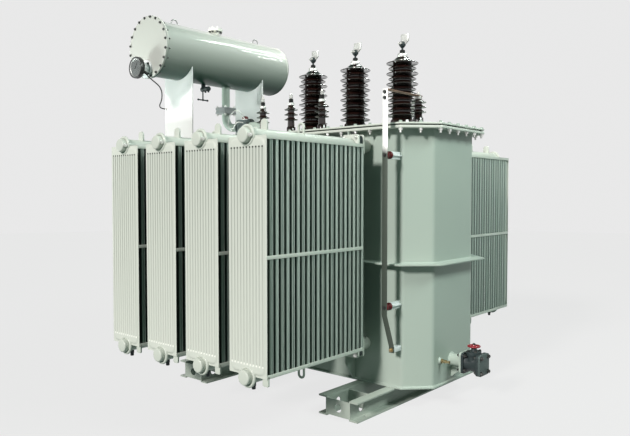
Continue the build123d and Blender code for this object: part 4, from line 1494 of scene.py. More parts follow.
@dataclass
class PipeJoints:
    """The stubs and flat valves between the tank and one bank of radiators, with their bolts."""

    side_name: str
    levels: Pair = (0.408, 1.790)
    pitch: float = 0.4064
    count: int = 4
    bolt_place: float = 0.050
    stub_face: float = 0.540
    joint_end: float = 0.612
    valve_middle: float = 0.576
    valve_half: float = 0.064
    bolt_size: float = 0.013
    spindle_size: float = 0.0169
    edge: float = 0.0025

    def build(self) -> None:
        """Builds the stubs, the valves, the bolts through each joint and the valves' spindles."""
        stubs, valves = f"radiator_stubs_{self.side_name}", f"radiator_valves_{self.side_name}"
        round_off(stubs, f"{stubs}_turned", Finish.RADIATOR, self.edge)
        round_off(valves, f"{valves}_cast", Finish.VALVE, self.edge)
        side = -1 if self.side_name == "near" else 1
        joints, spindles = [], []
        for level in self.levels:
            for i in range(self.count):
                x = (i - (self.count - 1) / 2) * self.pitch
                spindles.append((Vector((x, side * self.valve_middle, level + self.valve_half)), UP))
                for dx, dz in CORNERS:
                    for out, way in ((self.stub_face, -side), (self.joint_end, side)):
                        point = (x + dx * self.bolt_place, side * out, level + dz * self.bolt_place)
                        joints.append((Vector(point), Vector((0, way, 0))))
        bolt(f"joint_bolts_{self.side_name}", joints, self.bolt_size, stud=1.6)
        name = f"valve_spindles_{self.side_name}"
        bolt(name, spindles, self.spindle_size, stud=1.6, finish=Finish.DARK_FASTENER)


@dataclass
class Bushing:
    """A shedded porcelain bushing turned about its own upright axis."""

    place: Matrix
    base: Pair
    core: float
    sheds: Profile
    neck: Pair
    rise: Pair
    rim: float
    steps: int

    def shed(self, radius: float, height: float) -> Profile:
        """Draws the rounded outline of one shed.

        Args:
            radius: The shed's radius.
            height: Height of its rim over the bushing's foot.

        Returns:
            The outline, from its underside to its top.
        """
        under, top = self.rise
        lip = self.rim
        points = [
            (self.core, height + under),
            (self.core + lip, height + under + lip * 0.2),
            (radius - 2 * lip, height + lip * 0.2),
            (radius - lip * 0.6, height - lip * 0.3),
            (radius, height + lip * 0.4),
            (radius - lip * 0.5, height + lip * 1.2),
        ]
        span = radius - lip - self.core
        for share in (0.3, 0.6, 0.85, 1.0):
            points.append((radius - lip - span * share, height + lip * 1.3 + (top - lip) * share ** 1.4))
        return points

    def porcelain(self) -> Solid:
        """Turns the porcelain.

        Returns:
            Its solid.
        """
        radius, height = self.base
        profile = [*drum(radius, 0.0, height, self.rim)[:-1], (self.core + self.rim, height + self.rim)]
        for shed in self.sheds:
            profile += self.shed(*shed)
        radius, height = self.neck
        profile += [(radius + self.rim, height - self.rim), (radius, height), (0.0, height)]
        return Solid().turn(self.place, profile, self.steps)


@dataclass
class TallBushings:
    """The three high-voltage bushings with their flanges, claws and terminals."""

    spacing: float = 0.464
    base: Pair = (0.092, 0.094)
    core: float = 0.075
    shed_radii: Pair = (0.127, 0.111)
    shed_rise: Pair = (0.008, 0.026)
    first_shed: float = 0.125
    shed_pitch: float = 0.082
    shed_count: int = 6
    neck: Pair = (0.045, 0.586)
    rim: float = 0.005
    claw_count: int = 6
    claw_radius: float = 0.110
    claw_foot: Triple = (0.034, 0.022, 0.044)
    claw_nose: Triple = (0.030, 0.018, 0.020)
    claw_nose_place: Triple = (0.0, 0.030, -0.018)
    claw_bolt_place: Triple = (0.0, 0.022, 0.006)
    claw_bolt: float = 0.014
    claw_edge: float = 0.003
    flange_edge: float = 0.002
    ring: Outline = (
        (0.0, 0.602), (0.036, 0.602), (0.038, 0.605), (0.038, 0.626), (0.035, 0.630), (0.0, 0.630),
    )
    cap: Outline = (
        (0.0, 0.630), (0.021, 0.630), (0.021, 0.652), (0.019, 0.658), (0.014, 0.660), (0.0, 0.660),
    )
    clamp: Outline = (
        (0.0, 0.658), (0.008, 0.658), (0.008, 0.676), (0.012, 0.677), (0.024, 0.692), (0.026, 0.697),
        (0.026, 0.718), (0.023, 0.722), (0.0, 0.722),
    )
    palm_width: float = 0.070
    palm_foot: float = 0.704
    palm_rise: float = 0.076
    palm_thickness: float = 0.012
    palm_offset: float = 0.023
    palm_cut: float = 0.024
    palm_hole: float = 0.006
    palm_hole_place: float = 0.016
    palm_bolt: float = 0.010
    palm_bolt_places: tuple[Triple, Triple] = ((-0.016, -0.021, 0.708), (0.004, -0.021, 0.708))
    palm_edge: float = 0.001

    def sheds(self) -> Profile:
        """Returns the large and small sheds that take turns, as pairs of radius and height."""
        count, step = 2 * self.shed_count - 1, self.shed_pitch / 2
        return [(self.shed_radii[i % 2], self.first_shed + i * step) for i in range(count)]

    def claws(self, foot: Vector, solid: Solid) -> Places:
        """Adds the claws that hold one porcelain down.

        Args:
            foot: The middle of the porcelain's foot.
            solid: The solid that takes the claws.

        Returns:
            The places of their bolts.
        """
        places = []
        for x, y in circle(1.0, self.claw_count, 0.5):
            way = Vector((x, y, 0))
            claw = seat(foot + way * self.claw_radius, way)
            solid.block(claw @ Matrix.Translation((0, self.claw_foot[1] / 2, 0)), self.claw_foot)
            solid.block(claw @ Matrix.Translation(self.claw_nose_place), self.claw_nose)
            places.append((claw @ Vector(self.claw_bolt_place), UP))
        return places

    def palm(self, axis: Matrix) -> Solid:
        """Cuts one holed palm plate.

        Args:
            axis: The bushing's frame on the cover.

        Returns:
            The plate.
        """
        place = seat(axis @ Vector((self.palm_offset, 0, self.palm_foot)), (0, -1, 0))
        half, rise, cut = self.palm_width / 2, self.palm_rise, self.palm_cut
        outline = [(-half, 0.0), (half - cut, 0.0), (half, cut), (half, rise), (-half, rise)]
        across = self.palm_hole_place
        holes = [(dx * across, rise - half + dy * across, self.palm_hole) for dx, dy in CORNERS]
        return Solid().sheet(place, outline, holes, -self.palm_thickness / 2, self.palm_thickness / 2)

    def build(self) -> None:
        """Builds the three bushings."""
        low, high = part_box("hv_porcelain")
        row = (low.y + high.y) / 2
        claws, rings, caps, clamps = Solid(), Solid(), Solid(), Solid()
        claw_bolts, palm_bolts = [], []
        for number, x in enumerate((-self.spacing, 0.0, self.spacing), start=1):
            foot, axis = upright(x, row, low.z), upright(x, row, cover_level())
            bushing = Bushing(
                foot, self.base, self.core, self.sheds(), self.neck, self.shed_rise, self.rim, steps=72
            )
            nodes = [["hv_porcelain"], ["hv_terminals"]] if number == 1 else [[], []]
            bushing.porcelain().show(f"hv_bushing_{number}", Finish.PORCELAIN, nodes[0], smooth=50)
            claw_bolts += self.claws(foot.translation, claws)
            rings.turn(axis, self.ring, 40)
            caps.turn(axis, self.cap, 32)
            clamps.turn(axis, self.clamp, 32)
            self.palm(axis).show(f"hv_palm_{number}", Finish.PALM, nodes[1], self.palm_edge)
            palm_bolts += [(axis @ Vector(place), Vector((0, -1, 0))) for place in self.palm_bolt_places]
        claws.show("hv_claws", Finish.CLAMP, bevel=self.claw_edge)
        rings.show("hv_cap_rings", Finish.CLAMP, smooth=40)
        caps.show("hv_seal_caps", Finish.GASKET, smooth=40)
        clamps.show("hv_stem_clamps", Finish.VALVE, smooth=40)
        round_off("hv_flanges", "hv_flange_rings", Finish.TANK, self.flange_edge)
        bolt("hv_claw_bolts", claw_bolts, self.claw_bolt, stud=1.9)
        bolt("hv_clamp_bolts", palm_bolts, self.palm_bolt, stud=1.4)


@dataclass
class SmallBushings:
    """The low-voltage bushings and the neutral bushing."""

    base_radius: float = 0.036
    base_height: float = 0.058
    core: float = 0.026
    shed_radius: float = 0.056
    shed_rise: Pair = (0.005, 0.018)
    neck_radius: float = 0.020
    rim: float = 0.003
    places: Triple = (-0.637, -0.314, 0.015)
    heights: Triple = (0.116, 0.156, 0.197)
    neutral_place: float = 0.890
    neutral_base: float = 0.044
    neutral_heights: Triple = (0.080, 0.114, 0.148)
    ring_radius: float = 0.026
    ring_height: float = 0.022
    cap_radius: float = 0.018
    cap_height: float = 0.032
    stud_radius: float = 0.0085
    stud_length: float = 0.050
    neutral_stud: float = 0.032
    nut_radius: float = 0.015
    nut_height: float = 0.010
    nut_levels: Pair = (0.008, 0.024)
    neutral_nuts: tuple[float] = (0.005,)
    flange_bolt_radius: float = 0.048
    flange_bolt: float = 0.010
    flange_edge: float = 0.002

    def porcelain(self, place: Matrix, heights: Triple, base: float, neck: float) -> Solid:
        """Turns one small porcelain.

        Args:
            place: The frame that it stands on.
            heights: Heights of its sheds over the seat.
            base: Height of its plain base.
            neck: Height of its neck's top.

        Returns:
            The porcelain's solid.
        """
        sheds = [(self.shed_radius, height) for height in heights]
        return Bushing(
            place, (self.base_radius, base), self.core, sheds, (self.neck_radius, neck),
            self.shed_rise, self.rim, steps=48,
        ).porcelain()

    def ring(self, solid: Solid, place: Matrix) -> None:
        """Adds the pale ring on a porcelain's neck.

        Args:
            solid: The solid that takes it.
            place: The frame on the neck's top.
        """
        radius, edge = self.ring_radius, self.rim
        upper = drum(radius, edge, self.ring_height, edge)
        solid.turn(place, [(0.0, 0.0), (radius - edge, 0.0), *upper[1:]], 32)

    def stud(self, solid: Solid, place: Matrix, top: float, nuts: Sequence[float]) -> None:
        """Adds a stud with a round end and nuts.

        Args:
            solid: The solid that takes them.
            place: The frame that the stud stands on.
            top: Height of its end.
            nuts: Levels of the nuts.
        """
        radius = self.stud_radius
        end = [(radius, top - radius), (radius * 0.7, top - radius * 0.3), (0.0, top)]
        solid.turn(place, [(0.0, 0.0), (radius, 0.0), *end], 20)
        for level in nuts:
            solid.nut(place, self.nut_radius, level, level + self.nut_height)

    def build(self) -> None:
        """Builds the bushings and their terminals."""
        low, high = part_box("lv_porcelain")
        row, foot = (low.y + high.y) / 2, low.z
        rings, caps, studs, neutral = Solid(), Solid(), Solid(), Solid()
        for number, x in enumerate(self.places, start=1):
            solid = self.porcelain(upright(x, row, foot), self.heights, self.base_height, high.z - foot)
            node = ["lv_porcelain"] if number == 1 else []
            solid.show(f"lv_bushing_{number}", Finish.PORCELAIN, node, smooth=50)
            self.ring(rings, upright(x, row, high.z))
            sleeve = high.z + self.ring_height
            caps.turn(upright(x, row, sleeve), drum(self.cap_radius, 0.0, self.cap_height, self.rim), 28)
            cap_top = upright(x, row, sleeve + self.cap_height - self.rim)
            self.stud(studs, cap_top, self.stud_length + self.rim, self.nut_levels)
        x, top = self.neutral_place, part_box("neutral_porcelain")[1].z
        solid = self.porcelain(upright(x, row, foot), self.neutral_heights, self.neutral_base, top - foot)
        solid.show("neutral_bushing", Finish.PORCELAIN, ["neutral_porcelain"], smooth=50)
        rings.show("lv_cap_rings", Finish.CLAMP, smooth=40)
        caps.show("lv_seal_caps", Finish.GASKET, smooth=40)
        studs.show("lv_studs", Finish.TERMINAL, ["lv_terminals"], smooth=40)
        self.ring(neutral, upright(x, row, top))
        self.stud(neutral, upright(x, row, top + self.ring_height), self.neutral_stud, self.neutral_nuts)
        neutral.show("neutral_stud", Finish.TERMINAL, ["neutral_terminal"], smooth=40)
        round_off("lv_flanges", "lv_flange_rings", Finish.CLAMP, self.flange_edge)
        flange_bolts = []
        for x in (*self.places, self.neutral_place):
            flange_bolts += bolt_circle(upright(x, row, foot), self.flange_bolt_radius, 4, 0.0)
        bolt("lv_flange_bolts", flange_bolts, self.flange_bolt, stud=1.5, finish=Finish.DARK_FASTENER)


@dataclass
class Conservator:
    """The conservator drum with its bolted cover, dished end, supports, filler, eyes and drain cock."""

    x: float = -1.473
    level: float = 2.724
    half_length: float = 0.750
    radius: float = 0.2415
    edge: float = 0.0015
    flange_radius: float = 0.268
    flange_thickness: float = 0.012
    cover_radius: float = 0.267
    cover_thickness: float = 0.014
    cover_edge: float = 0.002
    crown: float = 0.046
    end_lip: float = 0.010
    end_inset: float = 0.001
    weld: float = 0.007
    bolt_count: int = 20
    bolt_radius: float = 0.256
    bolt_size: float = 0.011
    filler_neck: Pair = (0.038, 0.030)
    filler_root: float = -0.040
    filler_radius: float = 0.068
    filler_flange: float = 0.012
    filler_cover: float = 0.010
    filler_seam: Pair = (0.004, 0.001)
    filler_bolt_radius: float = 0.055
    filler_bolts: int = 8
    eye_places: Pair = (-0.480, 0.525)
    eye_radius: float = 0.034
    eye_bar: float = 0.005
    eye_rise: float = 0.014
    cock_neck: Pair = (0.020, 0.026)
    cock_barrel: float = 0.022
    cock_edge: float = 0.001
    cock_lip: float = 0.006
    cock_nut: float = 0.009
    cock_nut_shares: Pair = (0.5, 0.88)
    cock_rod: float = 0.006
    steps: int = 96

    def end(self, y: float, way: int) -> Matrix:
        """Returns a frame on the drum's axis that faces along the axis."""
        return seat((self.x, y, self.level), (0, way, 0))

    def shell(self) -> None:
        """Builds the drum with its end flange and the weld behind the flange."""
        flange, thick, weld, edge = self.flange_radius, self.flange_thickness, self.weld, self.edge
        length = 2 * self.half_length
        profile = [
            (0.0, 0.0), (flange - edge, 0.0), (flange, edge), (flange, thick - edge), (flange - edge, thick),
            (self.radius + weld, thick), (self.radius + weld * 0.4, thick + weld * 0.4),
            (self.radius, thick + weld), (self.radius, length), (0.0, length),
        ]
        solid = Solid().turn(self.end(-self.half_length, 1), profile, self.steps)
        solid.show("conservator_drum", Finish.DRUM, ["conservator_shell"], smooth=40)

    def ends(self) -> None:
        """Builds the near cover with its bolts, and the dished far end."""
        near, far = self.end(-self.half_length, -1), self.end(self.half_length, 1)
        thick, edge = self.cover_thickness, self.cover_edge
        cover = [
            (0.0, 0.0), (self.cover_radius, 0.0), (self.cover_radius, thick - edge),
            (self.flange_radius - edge, thick), (0.0, thick),
        ]
        solid = Solid().turn(near, cover, self.steps)
        solid.show("conservator_near_cover", Finish.COVER, ["conservator_cover"], smooth=40)
        lip, weld = self.end_lip, self.weld
        crown = [(self.radius * x, lip + self.crown * y) for x, y in arc(1.0, 0.0, pi / 2, 12)]
        dish = [
            (0.0, -weld), (self.radius - self.end_inset, -weld), (self.radius + weld * 0.5, -weld * 0.3),
            *crown[:-1], (0.0, lip + self.crown),
        ]
        solid = Solid().turn(far, dish, self.steps)
        solid.show("conservator_dish", Finish.DRUM, ["conservator_far_end"], smooth=60)
        heads = bolt_circle(near, self.bolt_radius, self.bolt_count, thick)
        nuts = bolt_circle(near, self.bolt_radius, self.bolt_count, -self.flange_thickness, way=-1)
        bolt("conservator_cover_bolts", heads, self.bolt_size, stud=0.9, finish=Finish.DARK_FASTENER)
        bolt("conservator_cover_nuts", nuts, self.bolt_size, stud=1.8, finish=Finish.DARK_FASTENER)

    def filler(self) -> None:
        """Builds the filler neck, its flange pair and the bolts on top."""
        neck, rise = self.filler_neck
        radius, edge = self.filler_radius, self.edge
        depth, seam = self.filler_seam
        pair = rise + self.filler_flange
        top = pair + self.filler_cover
        profile = [
            (0.0, self.filler_root), (neck, self.filler_root), (neck, rise), (radius - edge, rise),
            (radius, rise + edge), (radius, pair - seam), (radius - depth, pair - seam),
            (radius - depth, pair + seam), (radius, pair + seam), (radius, top - edge), (radius - edge, top),
            (0.0, top),
        ]
        place = upright(self.x, 0.0, self.level + self.radius)
        Solid().turn(place, profile).show("filler_neck", Finish.DRUM, ["filler_cap"], smooth=40)
        heads = bolt_circle(place, self.filler_bolt_radius, self.filler_bolts, top)
        nuts = bolt_circle(place, self.filler_bolt_radius, self.filler_bolts, rise, way=-1)
        bolt("filler_bolts", heads, self.bolt_size, stud=1.6)
        bolt("filler_nuts", nuts, self.bolt_size, stud=1.6, finish=Finish.DARK_FASTENER)

    def eyes(self) -> None:
        """Builds the two lifting rings on the drum's top, each with a weld at its feet."""
        solid = Solid()
        crest, bar = self.level + self.radius, self.eye_bar
        weld = [(0.0, 0.0), (2 * bar, 0.0), (bar, 2 * bar), (0.0, 2 * bar)]
        for y in self.eye_places:
            ring = circle(self.eye_radius, 36)
            path = [Vector((self.x, y + dy, crest + self.eye_rise + dz)) for dy, dz in ring]
            solid.tube(path, bar, 12, closed=True)
            for hand in (-1, 1):
                solid.turn(upright(self.x, y + hand * self.eye_radius * 0.9, crest - bar), weld, 16)
        solid.show("lifting_rings", Finish.EYE, ["lifting_eyes"], smooth=60)

    def cock(self) -> None:
        """Builds the drain cock: a neck, a lying barrel with two nuts, and a rod with a cross handle."""
        low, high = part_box("conservator_drain_cock")
        y = (low.y + high.y) / 2
        radius, length, lip = self.cock_barrel, high.x - low.x, self.cock_lip
        neck, drop = self.cock_neck
        middle = high.z - drop - radius
        solid = Solid().turn(upright(self.x, y, middle), drum(neck, 0.0, high.z - middle), 24)
        solid.turn(seat((low.x, y, middle), (1, 0, 0)), [
            (0.0, 0.0), (radius * 0.8, 0.0), (radius, lip), (radius, length * 0.4),
            (radius * 0.85, length * 0.42), (radius * 0.85, length * 0.5), (radius, length * 0.52),
            (radius, length - lip), (radius * 0.8, length), (0.0, length),
        ], 32)
        for share in self.cock_nut_shares:
            place = seat((low.x + length * share, y, middle - radius * 0.8), -UP, (0, 1, 0))
            solid.nut(place, self.cock_nut, 0.0, self.cock_nut * 1.8)
        rod = self.cock_rod
        x, handle = low.x + 3 * rod, low.z + rod
        solid.tube([Vector((x, y, level)) for level in (middle, handle)], rod, 16)
        solid.tube([Vector((x, side, handle)) for side in (low.y, high.y)], rod, 16)
        for side in (low.y + rod, y, high.y - rod):
            solid.turn(seat((x, side - rod, handle), (0, 1, 0)), drum(1.5 * rod, 0.0, 2 * rod), 16)
        solid.show("conservator_cock", Finish.VALVE, ["conservator_drain_cock"], self.cock_edge)

    def build(self) -> None:
        """Builds the conservator."""
        self.shell()
        self.ends()
        self.filler()
        self.eyes()
        for node in ("conservator_support_near", "conservator_support_far"):
            round_off(node, f"{node}_plate", Finish.SUPPORT, self.edge)
        self.cock()


@dataclass
class OilGauge:
    """The dial gauge on the conservator's cover: base, neck, bezel, dial, pointer and glass."""

    centre: Triple = (-1.490, -0.764, 2.535)
    neck: Outline = (
        (0.0, 0.0), (0.078, 0.0), (0.078, 0.012), (0.076, 0.014), (0.052, 0.014), (0.050, 0.016),
        (0.050, 0.076), (0.0, 0.076),
    )
    bezel: Outline = (
        (0.0, 0.076), (0.082, 0.076), (0.090, 0.082), (0.092, 0.088), (0.092, 0.114), (0.090, 0.119),
        (0.087, 0.120), (0.082, 0.120), (0.080, 0.118), (0.080, 0.114), (0.0, 0.114),
    )
    inner_ring: Outline = (
        (0.066, 0.113), (0.0795, 0.113), (0.0795, 0.1175), (0.070, 0.116), (0.066, 0.113),
    )
    dial: Triple = (0.066, 0.113, 0.115)
    glass: Triple = (0.0795, 0.1182, 0.1196)
    mark_count: int = 11
    mark_angles: Pair = (-120.0, 24.0)
    mark_place: Triple = (0.0, 0.05676, 0.115)
    mark_size: Triple = (0.003, 0.011, 0.001)
    pointer: Outline = (
        (-0.005, -0.014), (0.005, -0.014), (0.0012, 0.050), (-0.0012, 0.050),
    )
    pointer_levels: Pair = (0.1155, 0.117)
    pointer_turn: float = -35.0
    hub: Outline = (
        (0.0, 0.114), (0.008, 0.114), (0.008, 0.117), (0.006, 0.118), (0.0, 0.118),
    )
    base_thickness: float = 0.014
    bolt_radius: float = 0.064
    bolt_size: float = 0.010
    gland: Pair = (0.011, 0.0777)
    gland_edge: float = 0.002
    gland_nut: Triple = (0.01375, 0.0577, 0.0697)
    gland_standoff: float = 0.052
    gland_turn: float = 40.0

    def case(self, place: Matrix) -> None:
        """Builds the bezel with the gland that the cable comes out of.

        Args:
            place: The gauge's frame on the conservator's cover.
        """
        solid = Solid().turn(place, self.bezel, 72)
        turn = radians(self.gland_turn)
        gland = seat(place @ Vector((0, 0, self.gland_standoff)), (cos(turn), 0, -sin(turn)), (0, 1, 0))
        radius, reach = self.gland
        solid.turn(gland, drum(radius, 0.0, reach, self.gland_edge), 24)
        solid.nut(gland, *self.gland_nut)
        solid.show("gauge_case", Finish.CASE, smooth=40)

    def marks(self, place: Matrix) -> None:
        """Builds the marks, the pointer and its hub.

        Args:
            place: The gauge's frame on the conservator's cover.
        """
        solid = Solid()
        first, step = self.mark_angles
        for k in range(self.mark_count):
            turn = place @ Matrix.Rotation(radians(first + step * k), 4, "Z")
            solid.block(turn @ Matrix.Translation(self.mark_place), self.mark_size)
        turn = place @ Matrix.Rotation(radians(self.pointer_turn), 4, "Z")
        solid.plate(turn, self.pointer, *self.pointer_levels)
        solid.turn(place, self.hub, 20)
        solid.show("gauge_marks", Finish.GASKET, smooth=40)

    def build(self) -> None:
        """Builds the gauge."""
        place = seat(self.centre, (0, -1, 0))
        Solid().turn(place, self.neck).show("gauge_neck", Finish.PALE, ["oil_level_gauge"], smooth=40)
        self.case(place)
        Solid().turn(place, self.inner_ring, 72).show("gauge_inner_ring", Finish.EYE, smooth=40)
        Solid().turn(place, drum(*self.dial)).show("gauge_dial", Finish.DIAL, smooth=40)
        self.marks(place)
        Solid().turn(place, drum(*self.glass)).show("gauge_glass", Finish.GLASS, smooth=40)
        places = bolt_circle(place, self.bolt_radius, 4, self.base_thickness)
        bolt("gauge_base_bolts", places, self.bolt_size, stud=1.3, finish=Finish.DARK_FASTENER)


@dataclass
class OilLine:
    """The oil pipe from the conservator to the cover, with its valve, gas relay and landing flange."""

    x: float = -1.473
    row: float = 0.128
    top: float = 2.560
    low: float = 2.090
    landing: float = -0.985
    radius: float = 0.038
    bend: float = 0.110
    landing_bend: float = 0.0935
    relay: float = -1.201
    relay_half: float = 0.075
    relay_side: float = 0.120
    relay_corner: float = 0.012
    relay_edge: float = 0.002
    relay_flange: Pair = (0.070, 0.014)
    relay_bolt_radius: float = 0.056
    relay_bolt: float = 0.010
    dome: Pair = (0.040, 0.040)
    cap_radius: float = 0.029
    valve_foot: float = 2.230
    valve_length: float = 0.058
    valve_side: float = 0.150
    valve_corner: float = 0.018
    valve_body: float = 0.144
    valve_edge: float = 0.0015
    flange_thickness: float = 0.018
    landing_flange: Outline = (
        (0.0, 0.0), (0.080, 0.0), (0.080, 0.014), (0.078, 0.016), (0.044, 0.016), (0.038, 0.022),
        (0.0, 0.022),
    )
    landing_thickness: float = 0.016
    landing_bolt_radius: float = 0.062
    bolt_size: float = 0.013
    bolt_place: float = 0.056
    tube_radius: float = 0.005
    tube_bend: float = 0.025
    tube_routes: tuple[Sequence[Triple], ...] = (
        (
            (-1.180, 0.100, 2.160), (-1.190, 0.040, 2.235), (-1.255, 0.030, 2.235), (-1.325, 0.035, 2.180),
            (-1.345, 0.040, 2.095), (-1.350, 0.095, 2.085),
        ),
        ((-1.165, 0.075, 2.120), (-1.200, 0.025, 2.130), (-1.300, 0.030, 2.045), (-1.330, 0.095, 2.075)),
    )

    def pipe(self) -> None:
        """Builds the bent pipe in its two lengths, and the landing flange."""
        row, low, landing = self.row, self.low, self.landing
        drop = [(self.x, row, self.top), (self.x, row, low), (self.relay - self.relay_half, row, low)]
        run = [(self.relay + self.relay_half, row, low), (landing, row, low), (landing, row, cover_level())]
        solid = Solid().tube(bent_path(drop, self.bend), self.radius, 32)
        solid.tube(bent_path(run, self.landing_bend), self.radius, 32)
        solid.turn(upright(landing, row, cover_level()), self.landing_flange, 40)
        solid.show("oil_pipe_run", Finish.TANK, ["oil_pipe"], smooth=40)

    def valve(self) -> None:
        """Builds the shut-off valve's flange pair and waist, and the line's bolts."""
        place = upright(self.x, self.row, self.valve_foot)
        sides = (self.valve_side, self.valve_body)
        outline, inner = (rounded_loop(side, side, self.valve_corner) for side in sides)
        thick, length = self.flange_thickness, self.valve_length
        flanges = Solid().plate(place, outline, 0.0, thick).plate(place, outline, length - thick, length)
        flanges.show("oil_valve_flanges", Finish.OIL_VALVE, bevel=self.valve_edge)
        body = Solid().plate(place, inner, thick / 2, length - thick / 2)
        body.show("oil_valve_body", Finish.OIL_VALVE, bevel=self.valve_edge)
        places = []
        for dx, dy in CORNERS:
            for level, way in ((0.0, -1), (length, 1)):
                point = place @ Vector((dx * self.bolt_place, dy * self.bolt_place, level))
                places.append((point, way * UP))
        landing = upright(self.landing, self.row, cover_level())
        places += bolt_circle(landing, self.landing_bolt_radius, 6, self.landing_thickness, phase=0.0)
        bolt("oil_line_bolts", places, self.bolt_size, stud=1.5)

    def gas_relay(self) -> None:
        """Builds the relay's body, flanges and red dome."""
        radius, thick = self.relay_flange
        half = self.relay_half - thick
        outline = rounded_loop(2 * half, self.relay_side, self.relay_corner)
        middle = upright(self.relay, self.row, self.low)
        body = Solid().plate(middle, outline, -self.relay_side / 2, self.relay_side / 2)
        places = []
        for hand in (-1, 1):
            start = seat((self.relay + hand * half, self.row, self.low), (hand, 0, 0))
            body.turn(start, drum(radius, 0.0, thick), 40)
            places += bolt_circle(start, self.relay_bolt_radius, 6, thick)
        body.show("gas_relay_body", Finish.VALVE_COVER, ["gas_relay"], self.relay_edge)
        bolt("gas_relay_bolts", places, self.relay_bolt, stud=1.3, finish=Finish.DARK_FASTENER)
        radius, rise = self.dome
        place = middle @ upright(0.0, 0.0, self.relay_side / 2)
        collar = Solid().turn(place, drum(radius, 0.0, rise * 0.25), 36)
        collar.show("gas_relay_collar", Finish.CLAMP, smooth=40)
        cap = self.cap_radius
        crown = [(cap * x, rise * (0.6 + 0.4 * y)) for x, y in arc(1.0, 0.0, pi / 2, 6)[:-1]]
        crown = [(0.0, rise * 0.2), (cap, rise * 0.2), *crown, (0.0, rise)]
        Solid().turn(place, crown, 36).show("gas_relay_dome", Finish.RESIN, smooth=50)

    def tubes(self) -> None:
        """Builds the thin bleed tubes from the relay back to the oil pipe."""
        solid = Solid()
        for route in self.tube_routes:
            solid.tube(bent_path(route, self.tube_bend), self.tube_radius, 12)
        solid.show("relay_bleed_tubes", Finish.CLAMP, smooth=60)

    def build(self) -> None:
        """Builds the oil line."""
        self.tubes()
        self.pipe()
        self.valve()
        self.gas_relay()


@dataclass
class ReliefValve:
    """The pressure relief valve on the cover."""

    x: float = -0.860
    y: float = -0.110
    profile: Outline = (
        (0.0, 0.0), (0.092, 0.0), (0.092, 0.014), (0.090, 0.016), (0.076, 0.016), (0.074, 0.020),
        (0.074, 0.084), (0.071, 0.089), (0.044, 0.115), (0.039, 0.118), (0.0, 0.118),
    )
    flange_thickness: float = 0.016
    bolt_radius: float = 0.083
    bolt_size: float = 0.010

    def build(self) -> None:
        """Builds the valve and the bolts round its flange."""
        place = upright(self.x, self.y, cover_level())
        Solid().turn(place, self.profile).show("relief_valve_body", Finish.TANK, ["relief_valve"], smooth=40)
        places = bolt_circle(place, self.bolt_radius, 8, self.flange_thickness, phase=0.0)
        bolt("relief_valve_bolts", places, self.bolt_size, stud=1.4)


